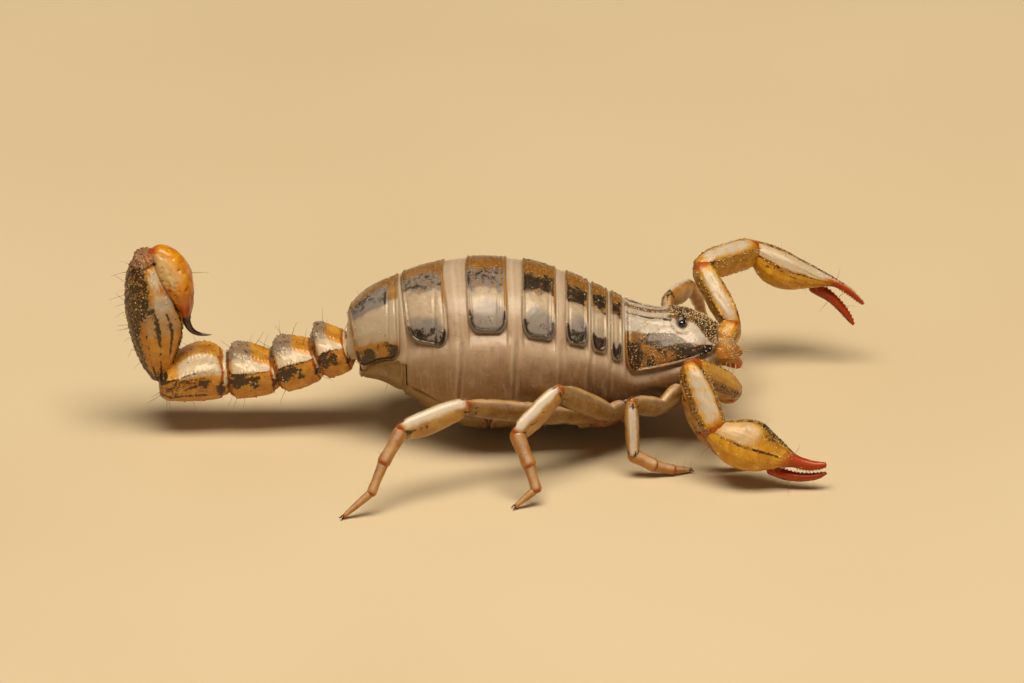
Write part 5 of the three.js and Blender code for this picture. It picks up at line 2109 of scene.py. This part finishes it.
@dataclass
class Legs:
    """All eight legs."""

    sizes: dict[int, Row] = field(default_factory=lambda: {
        1: (0.52, 0.52, 0.5, 0.4, 0.32, 0.24), 2: (0.6, 0.64, 0.66, 0.46, 0.36, 0.25),
        3: (0.62, 0.72, 0.75, 0.5, 0.38, 0.25), 4: (0.62, 0.68, 0.8, 0.46, 0.34, 0.25),
    })
    right: dict[int, Table] = field(default_factory=lambda: {
        1: ((11.5, 2.5, 3.6), (11.5, 3.35, 3.7), (10.9, 5.6, 4.9), (11.8, 6.0, 2.6), (12.9, 6.2, 1.5),
            (14.0, 6.1, 0.75), (15.2, 5.8, 0.2)),
        2: ((10.5, 2.7, 4.1), (9.3, 4.2, 3.45), (7.4, 6.0, 4.6), (7.55, 6.9, 1.5), (8.85, 6.9, 0.78),
            (10.0, 6.7, 0.38), (11.1, 6.4, 0.2)),
        3: ((6.9, 3.6, 3.1), (6.0, 5.0, 3.45), (2.9, 7.3, 6.15), (0.3, 9.3, 4.2), (1.05, 10.2, 2.55),
            (1.5, 10.8, 1.15), (0.2, 11.3, 0.2)),
        4: ((5.3, 3.9, 2.8), (3.5, 5.5, 3.5), (-2.9, 8.65, 5.8), (-6.85, 10.4, 5.0),
            (-7.95, 11.3, 3.3), (-8.7, 12.1, 1.6), (-10.45, 12.6, 0.16)),
    })
    left: dict[int, Table] = field(default_factory=lambda: {
        1: ((11.5, 2.5, 3.6), (11.5, 3.35, 3.7), (11.1, 5.5, 4.9), (11.8, 7.5, 3.6), (12.6, 8.3, 2.1),
            (13.3, 8.6, 0.9), (14.3, 8.4, 0.16)),
        2: ((10.5, 2.7, 4.1), (9.7, 3.9, 4.1), (9.8, 6.7, 5.5), (11.2, 9.3, 5.05), (11.75, 10.6, 3.4),
            (12.1, 11.3, 1.8), (12.5, 12.0, 0.06)),
        3: ((6.9, 3.6, 3.1), (6.2, 5.0, 3.5), (3.6, 7.7, 5.9), (1.3, 9.6, 4.1), (1.8, 10.6, 2.6),
            (2.1, 11.2, 1.2), (0.9, 12.0, 0.2)),
        4: ((5.3, 3.9, 2.8), (3.6, 5.5, 3.4), (-2.2, 8.4, 5.5), (-5.7, 10.4, 4.4), (-6.7, 11.5, 2.9),
            (-7.5, 12.3, 1.5), (-9.2, 12.9, 0.16)),
    })

    @property
    def legs(self) -> list[Leg]:
        """The eight legs, the right side first.

        Returns:
            The eight legs.
        """
        rows = [(n, -1, joints) for n, joints in self.right.items()]
        rows += [(n, 1, joints) for n, joints in self.left.items()]
        return [Leg(n, side, joints, self.sizes[n]) for n, side, joints in rows]

    def build(self, workshop: Workshop) -> None:
        """Builds every leg with its claws and bristles.

        Args:
            workshop: what turns shapes into pieces.
        """
        hosts = []
        for leg in self.legs:
            upper, lower = leg.upper(), leg.lower()
            hosts += [upper, lower]
            workshop.make(f"shell_{leg.name}_upper", upper, Coating.LEG, [f"{leg.name}_upper"])
            workshop.make(f"shell_{leg.name}_lower", lower, Coating.LEG, [f"{leg.name}_lower"])
            workshop.make(f"claws_{leg.name}", joined(leg.claws()), Coating.CLAW)
        host = lanes(hosts)
        workshop.strew("hairs_legs", host, Strewing(Scatter.HAIRS, 2.2, 0.2, 0.2, 0.5, 41, 0.6),
                       Coating.BRISTLE)


# ---------------- pedipalps

@dataclass
class Pedipalp:
    """One pincer arm from its trochanter to its two fingers.

    The directions are deep for the back of the hand, forearm_deep for that of the patella, and the sheens
    for where the faces with a painted sheen of the overhead light look. The three rows wide, above and
    below are half sizes of the hand and its fixed finger, from the wrist to the tip.
    """

    side: int
    coxa: Row
    shoulder: Row
    elbow: Row
    wrist: Row
    palm: Row
    fixed_finger: Table
    moving_finger: Table
    deep: Row
    forearm_deep: Row
    forearm_sheen: Row
    # how strong the painted sheen of the overhead light is on the femur
    femur_sheen: float
    face_span: Row
    face_end: float
    wide: Row
    above: Row
    below: Row
    finger_share: float
    # how strong the painted sheen is on the grainy top of the hand, then on the pale face of the palm
    top_sheen_share: float = 0.0
    palm_sheen: float = 0.74
    rim_share: float = 0.9
    sheen: Row = (0.0, -0.62, 0.78)
    arm_swell: Table = ((0, 0.62), (0.08, 0.78), (0.2, 0.93), (0.45, 1), (0.8, 0.96), (0.93, 0.84), (1, 0.66))
    finger_halves: Table = (
        (0, 0.5, 0.5, 0.5), (0.15, 0.54, 0.52, 0.52), (0.4, 0.48, 0.43, 0.45),
        (0.7, 0.4, 0.35, 0.37), (0.9, 0.28, 0.24, 0.26), (1, 0.18, 0.14, 0.16),
    )
    femur_half: float = 0.88
    patella_half: float = 0.98
    flatness: float = 0.88

    @property
    def name(self) -> str:
        """The name that the solids of this arm share."""
        return f"pedipalp_{'left' if self.side > 0 else 'right'}"

    def arm(self, start: Row, end: Row, up: Row, half: float, seed: int, sheen: Row, sheen_strength: float) -> Shape:
        """One piece of the arm with beaded keels on its edges.

        Args:
            start: the joint nearer the body.
            end: the joint nearer the hand.
            up: the direction of its back.
            half: its half depth.
            seed: what makes its unevenness its own.
            sheen: the direction that its face with the painted sheen looks in.
            sheen_strength: how pale that face is.

        Returns:
            The closed piece.
        """
        gloss = facing(start, end, up, sheen)

        def relief(t: Grid, a: Grid) -> Grid:
            """Four beaded keels with flat faces between them.

            Args:
                t: places along it.
                a: angles round it.

            Returns:
                The added height.
            """
            beads = 0.6 + 0.4 * np.cos(t * math.tau * 15 + 3 * ripple(t * 4, a, seed + 2, 0.8))
            keels = sum(ridge(a, gloss + angle, 6) for angle in (-46, 46, 136, 224))
            flats = sum(ridge(a, gloss + angle, 15) for angle in (0, 90, 180, 270))
            body = (0.08 * keels * beads - 0.05 * flats) * band(t, 0.1, 0.92, 0.08)
            return body + 0.025 * ripple(t * 4, a * 1.5, seed, 0.8)

        def marks(t: Grid, a: Grid) -> Marks:
            """A face with a painted sheen between brown grainy edges, amber below, and warm ends.

            Args:
                t: places along it.
                a: angles round it.

            Returns:
                The named numbers.
            """
            wild = 4 * ripple(t * 2.5, a, seed + 1, 0.7)
            gap = turn_gap(a, gloss) + wild
            # face: painted sheen of the overhead light on the face that looks towards it, grey where the
            # sheen is weaker
            face = step(gap, 48, 18) * band(t + 0.01 * wild, 0.16, 0.74, 0.22)
            rim = self.rim_share * band(gap, 42, 68, 9)
            amber = step(gap, 80, 120)
            tip = step(t, 0.84, 0.94)
            keel = bell(gap, 46, 5) + bell(gap, 74, 5)
            return {
                "dark": (0.12 * rim + 0.34 * keel) * band(t, 0.03, 0.9, 0.06) - 0.4 * face
                + 0.4 * bell(t, 0.1, 0.06) + 0.1 * amber,
                "pale": sheen_strength * face * unit(0.85 + 0.4 * ripple(t * 7, a * 2, seed + 4, 0.8))
                + 0.12 * amber,
                "slate": unit(0.62 * rim + 0.5 * face * (1 - sheen_strength) + 0.2 * (1 - amber) * (1 - face))
                * (1 - tip),
                "warm": 0.7 * unit(0.95 * tip + 0.4 * bell(t, 0, 0.06)),
                "grain": unit(0.5 * rim + 0.2) * (1 - 0.8 * face),
                "strewn": unit(0.9 * rim + 0.12) * (1 - sheen_strength * face) * band(t, 0.05, 0.95, 0.05),
                "bristle": 0.5 * rim + 0.15,
            }

        body = Body(straight(start, end, 0.12), up, swelling(half, self.arm_swell, self.flatness),
                    100, 110, 0.86, 0.5)
        return body.build(relief, marks)

    def hand(self) -> Shape:
        """The palm and the fixed finger in one, tapering from one into the other.

        Returns:
            The closed hand.
        """
        wrist, palm = np.asarray(self.wrist, float), np.asarray(self.palm, float)
        tips = [np.asarray(p, float) for p in self.fixed_finger]
        ahead = palm - wrist
        way = [wrist - ahead * 0.02, wrist + ahead * 0.2, wrist + ahead * 0.42, wrist + ahead * 0.64,
               (wrist + ahead * 0.86) * 0.55 + tips[0] * 0.45, *tips[1:]]
        reach = np.concatenate([[0], np.cumsum([math.dist(p, q) for p, q in zip(way, way[1:])])])
        places = reach / reach[-1]
        halves = np.column_stack([places, self.wide, self.above, self.below])
        root = float(places[5])

        def relief(t: Grid, a: Grid) -> Grid:
            """Keels that run down the palm to the finger, and teeth under the finger.

            Args:
                t: places along it.
                a: angles round it.

            Returns:
                The added height.
            """
            palm_part = step(t, root + 0.05, root - 0.12)
            low, high = self.face_span
            keels = 0.06 * ridge(a, 90, 5) + 0.06 * ridge(a, 184 - low, 4)
            keels = keels + 0.04 * (ridge(a, 174 - high, 4) + ridge(a, 216, 4) + ridge(a, 30, 4))
            keels = keels * (0.75 + 0.25 * np.cos(t * math.tau * 34 + 2 * ripple(t * 5, a, 97, 0.8)))
            teeth = 0.09 * step(t, root + 0.02, root + 0.08) * ridge(a, 270, 24)
            teeth = teeth * (0.5 + 0.5 * np.cos(t * math.tau * 40)) * step(t, 1.0, 0.96)
            wave = 0.03 * palm_part * ripple(t * 4, a * 1.3, 90 + self.side, 0.7)
            return keels * palm_part * step(t, 0.03, 0.15) + teeth + wave

        def marks(t: Grid, a: Grid) -> Marks:
            """A painted sheen patch at the upper base, brown lines on the keels and a red finger.

            Args:
                t: places along it.
                a: angles round it.

            Returns:
                The named numbers.
            """
            wild = 4 * ripple(t * 3, a, 95 + self.side, 0.7)
            phi = 180 - np.degrees(a) + wild
            low, high = self.face_span
            red = step(t, root - 0.19, root + 0.07)
            palm_only = 1 - red
            edge = phi + 5 * ripple(t * 8, a * 3, 93 + self.side, 0.8)
            # face: painted sheen of the overhead light at the upper base of the palm
            face = band(edge, low + 4, high, 15) * band(t + 0.006 * wild, 0.07, self.face_end, 0.1)
            top = step(phi, high - 4, high + 16) * step(phi, 178, 150)
            beyond = step(phi, -6, 36) * step(phi, 178, 150) * step(t, self.face_end, self.face_end + 0.1)
            line = bell(phi, low - 4, 5) * band(t, 0.03, root - 0.12, 0.06)
            thin = bell(phi, -36 + 18 * bell(t, 0.25, 0.2), 3.5) * band(t, 0.1, root - 0.16, 0.1)
            gold = band(phi, -80, low - 8, 10) * band(t, 0.05, root - 0.25, 0.1)
            teeth = ridge(a, 270, 22) * step(t, root + 0.02, root + 0.06)
            # a grainy top whose pale is a painted sheen of the overhead light
            top_sheen = self.top_sheen_share * step(phi, 8, 44) * step(phi, 178, 150) * step(t, 0.4, root)
            return {
                "dark": (0.5 * top + 0.34 * beyond + 0.75 * line + 0.4 * thin) * palm_only
                - 0.5 * face + (0.1 + 0.4 * ridge(a, 90, 26)) * red + 0.4 * top_sheen - 0.4 * teeth,
                "pale": unit(self.palm_sheen * face + 0.12 * gold + 0.8 * teeth + 0.7 * top_sheen),
                "slate": (0.5 * top + 0.45 * beyond + 0.5 * line) * palm_only,
                "warm": red * (1 - top_sheen),
                "grain": unit(0.7 * top + 0.6 * beyond + 0.1) * palm_only + 0.4 * top_sheen,
                "strewn": unit(0.75 * top + 0.5 * beyond + 0.4 * line + 0.1) * step(t, 0.02, 0.1)
                * (1 - face) * (1 - 0.7 * red) * (1 - teeth) + 0.5 * top_sheen,
                "bristle": 0.5,
            }

        body = Body(curved(way), self.deep, lambda t: follow(halves, t), 220, 130, 0.95, 0.6)
        return body.build(relief, marks)

    def finger(self) -> Shape:
        """The moving finger with its row of teeth.

        Returns:
            The closed finger.
        """
        table = np.asarray(self.moving_finger, float)
        halves = np.array(self.finger_halves) * [1, *[self.finger_share] * 3]

        def relief(t: Grid, a: Grid) -> Grid:
            """Teeth along the upper edge."""
            teeth = 0.08 * ridge(a, 90, 24) * (0.5 + 0.5 * np.cos(t * math.tau * 14))
            return teeth * band(t, 0.2, 0.94, 0.03) + 0.008 * ripple(t * 5, a, 99, 0.8)

        body = Body(curved(table), self.deep, lambda t: follow(halves, t), 110, 40, 1.0, 0.8)
        return body.build(relief, lambda t, a: {
            "warm": 1.0, "dark": 0.12 + 0.4 * ridge(a, 250, 36),
            "pale": 0.8 * ridge(a, 90, 20) * band(t, 0.25, 0.95, 0.04),
            "bristle": 0.8,
        })

    def build(self, workshop: Workshop) -> None:
        """Builds the arm, its hand and fingers, their grains and bristles.

        Args:
            workshop: what turns shapes into pieces.
        """
        parts = {
            "trochanter": self.arm(self.coxa, self.shoulder, UP, 0.84, 101, self.sheen, 0.3),
            "femur": self.arm(self.shoulder, self.elbow, UP, self.femur_half, 103, self.sheen,
                              self.femur_sheen),
            "patella": self.arm(self.elbow, self.wrist, self.forearm_deep, self.patella_half, 105,
                                self.forearm_sheen, 1.0),
            "hand": self.hand(),
        }
        for part, shape in parts.items():
            workshop.make(f"palp_{self.name[9:]}_{part}", shape, Coating.PALP,
                          [f"{self.name}_{part}"])
        finger = self.finger()
        workshop.make(f"palp_{self.name[9:]}_finger", finger, Coating.PALP,
                      [f"{self.name}_finger"])
        host = lanes([*parts.values(), finger])
        grains = Strewing(Scatter.GRAINS, 34, 0.13, 0.03, 0.065, 51)
        workshop.strew(f"grains_{self.name}", host, grains, Coating.GRAIN)
        hairs = Strewing(Scatter.HAIRS, 1.1, 0.35, 0.35, 1.0, 52)
        workshop.strew(f"hairs_{self.name}", host, hairs, Coating.BRISTLE)


RIGHT_PALP = Pedipalp(
    side=-1, coxa=(12.6, -1.7, 3.6), shoulder=(13.85, -3.2, 4.15), elbow=(11.05, -5.95, 7.05),
    wrist=(12.62, -7.72, 3.6), palm=(16.75, -8.4, 2.2),
    fixed_finger=((16.3, -8.38, 2.45), (17.45, -8.55, 1.97), (18.5, -8.65, 1.7), (19.45, -8.75, 1.76)),
    moving_finger=((16.1, -8.3, 1.22), (17.0, -8.5, 0.95), (18.0, -8.6, 0.83), (19.0, -8.7, 0.97),
                   (19.5, -8.75, 1.2)),
    deep=(0, 0.45, 0.89), forearm_deep=(0.7, 0, 0.7), forearm_sheen=(0, -0.62, 0.78), femur_sheen=0.3,
    palm_sheen=0.52, face_span=(-2.0, 54.0), face_end=0.33,
    wide=(0.6, 0.97, 1.15, 1.1, 0.8, 0.44, 0.34, 0.18),
    above=(0.7, 1.05, 1.44, 1.44, 0.98, 0.46, 0.34, 0.19),
    below=(0.8, 1.5, 1.68, 1.6, 1.14, 0.44, 0.32, 0.18), finger_share=0.66,
)
LEFT_PALP = Pedipalp(
    side=1, coxa=(12.6, 1.7, 3.6), shoulder=(13.85, 3.7, 5.2), elbow=(11.85, 6.5, 7.85),
    wrist=(15.3, 9.5, 7.5), palm=(19.6, 8.75, 5.85),
    fixed_finger=((19.1, 8.8, 6.1), (20.3, 8.5, 5.75), (21.3, 8.3, 5.2), (22.1, 8.1, 4.5)),
    moving_finger=((19.0, 8.95, 5.2), (20.0, 8.75, 4.65), (20.8, 8.5, 3.9), (21.5, 8.2, 3.0)),
    deep=(0, 0.45, 0.89), forearm_deep=(0, 0.3, 0.95), forearm_sheen=(0, -0.31, 0.95), femur_sheen=1.0,
    face_span=(-6.0, 52.0), face_end=0.6, wide=(0.6, 0.92, 1.05, 0.98, 0.72, 0.3, 0.24, 0.12),
    above=(0.62, 0.72, 0.7, 0.6, 0.48, 0.28, 0.22, 0.12),
    below=(0.7, 1.45, 1.62, 1.42, 0.86, 0.28, 0.22, 0.12), finger_share=0.7, top_sheen_share=0.8,
    femur_half=0.84, patella_half=0.94, rim_share=0.5,
)


# ---------------- studio

@dataclass
class Studio:
    """The floor, the lights and the camera."""

    lens: float = 600.0
    sensor: float = 36.0
    elevation: float = 27.0
    frame_width: float = 64.0
    target: Row = (0.0, 0.0, 5.926)
    floor_reach: float = 3000.0
    lamps: tuple = (
        ("soft_box", (0.008, -0.0831647, 0.391259), (0.34, 0.17), 2.2, (1.0, 0.9, 0.77)),
        ("front_fill", (0.25, -0.5, 0.22), (0.4, 0.3), 0.3, (1.0, 0.85, 0.66)),
        ("back_fill", (-0.3, 0.45, 0.3), (0.4, 0.3), 0.25, (1.0, 0.9, 0.78)),
    )
    air: str = "cbb592"
    air_power: float = 0.09

    def floor(self, workshop: Workshop) -> None:
        """Lays a wide flat floor all round the animal.

        Args:
            workshop: what turns shapes into pieces.
        """
        far = self.floor_reach * MM
        points = [(-far, -far, 0), (far, -far, 0), (far, far, 0), (-far, far, 0)]
        mesh = bpy.data.meshes.new("studio_floor")
        mesh.from_pydata(points, [], [(0, 1, 2, 3)])
        floor = bpy.data.objects.new("studio_floor", mesh)
        bpy.context.scene.collection.objects.link(floor)
        mesh.materials.append(workshop.finishes[Coating.FLOOR])

    def lamp(self, name: str, place: Vector, target: Vector, size: Row, power: float, colour: Row) -> None:
        """Hangs one soft rectangular light.

        Args:
            name: its name.
            place: where it hangs.
            target: what it points at.
            size: its two sides in metres.
            power: its power in watts.
            colour: its colour.
        """
        data = bpy.data.lights.new(name, "AREA")
        data.shape = "RECTANGLE"
        data.size, data.size_y = size
        data.energy = power
        data.color = colour
        lamp = bpy.data.objects.new(name, data)
        lamp.location = place
        lamp.rotation_euler = (target - place).to_track_quat("-Z", "Y").to_euler()
        lamp.visible_camera = False
        bpy.context.scene.collection.objects.link(lamp)

    def build(self, workshop: Workshop) -> None:
        """Builds the studio round the animal.

        Args:
            workshop: what turns shapes into pieces.
        """
        self.floor(workshop)
        target = workshop.point(*self.target)
        for name, place, *rest in self.lamps:
            self.lamp(name, target + Vector(place), target, *rest)
        world = bpy.data.worlds.new("studio_air")
        world.use_nodes = True
        w = Wiring(world.node_tree)
        sky = w.add("ShaderNodeBackground", {0: linear(self.air), 1: self.air_power})
        w.add("ShaderNodeOutputWorld", {0: sky.outputs[0]})
        scene = bpy.context.scene
        scene.world = world
        scene.view_settings.view_transform = "Standard"
        data = bpy.data.cameras.new("camera")
        data.lens = self.lens
        data.sensor_width = self.sensor
        distance = self.frame_width * MM * self.lens / self.sensor
        data.clip_start, data.clip_end = distance * 0.05, distance * 4
        camera = bpy.data.objects.new("camera", data)
        tilt = math.radians(self.elevation)
        camera.location = target + Vector((0, -math.cos(tilt), math.sin(tilt))) * distance
        camera.rotation_euler = (math.pi / 2 - tilt, 0, 0)
        scene.collection.objects.link(camera)
        scene.camera = camera


def corners(box: tuple[Vector, Vector]) -> list[list[float]]:
    """A box's two corners as plain lists."""
    return [list(corner) for corner in box]


def main() -> None:
    """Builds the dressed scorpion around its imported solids, in order, and reports each piece."""
    logging.basicConfig(level=logging.INFO, format="%(name)s: %(message)s")
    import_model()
    workshop = Workshop()
    Studio().build(workshop)
    trunk, legs = Trunk(), Legs()
    trunk.build(workshop)
    Jaws().build(workshop)
    Underparts(trunk).build(workshop, legs)
    Tail().build(workshop)
    legs.build(workshop)
    for palp in (RIGHT_PALP, LEFT_PALP):
        palp.build(workshop)
    LOG.info("all pieces: %d triangles", workshop.count)


if __name__ == "__main__":
    main()
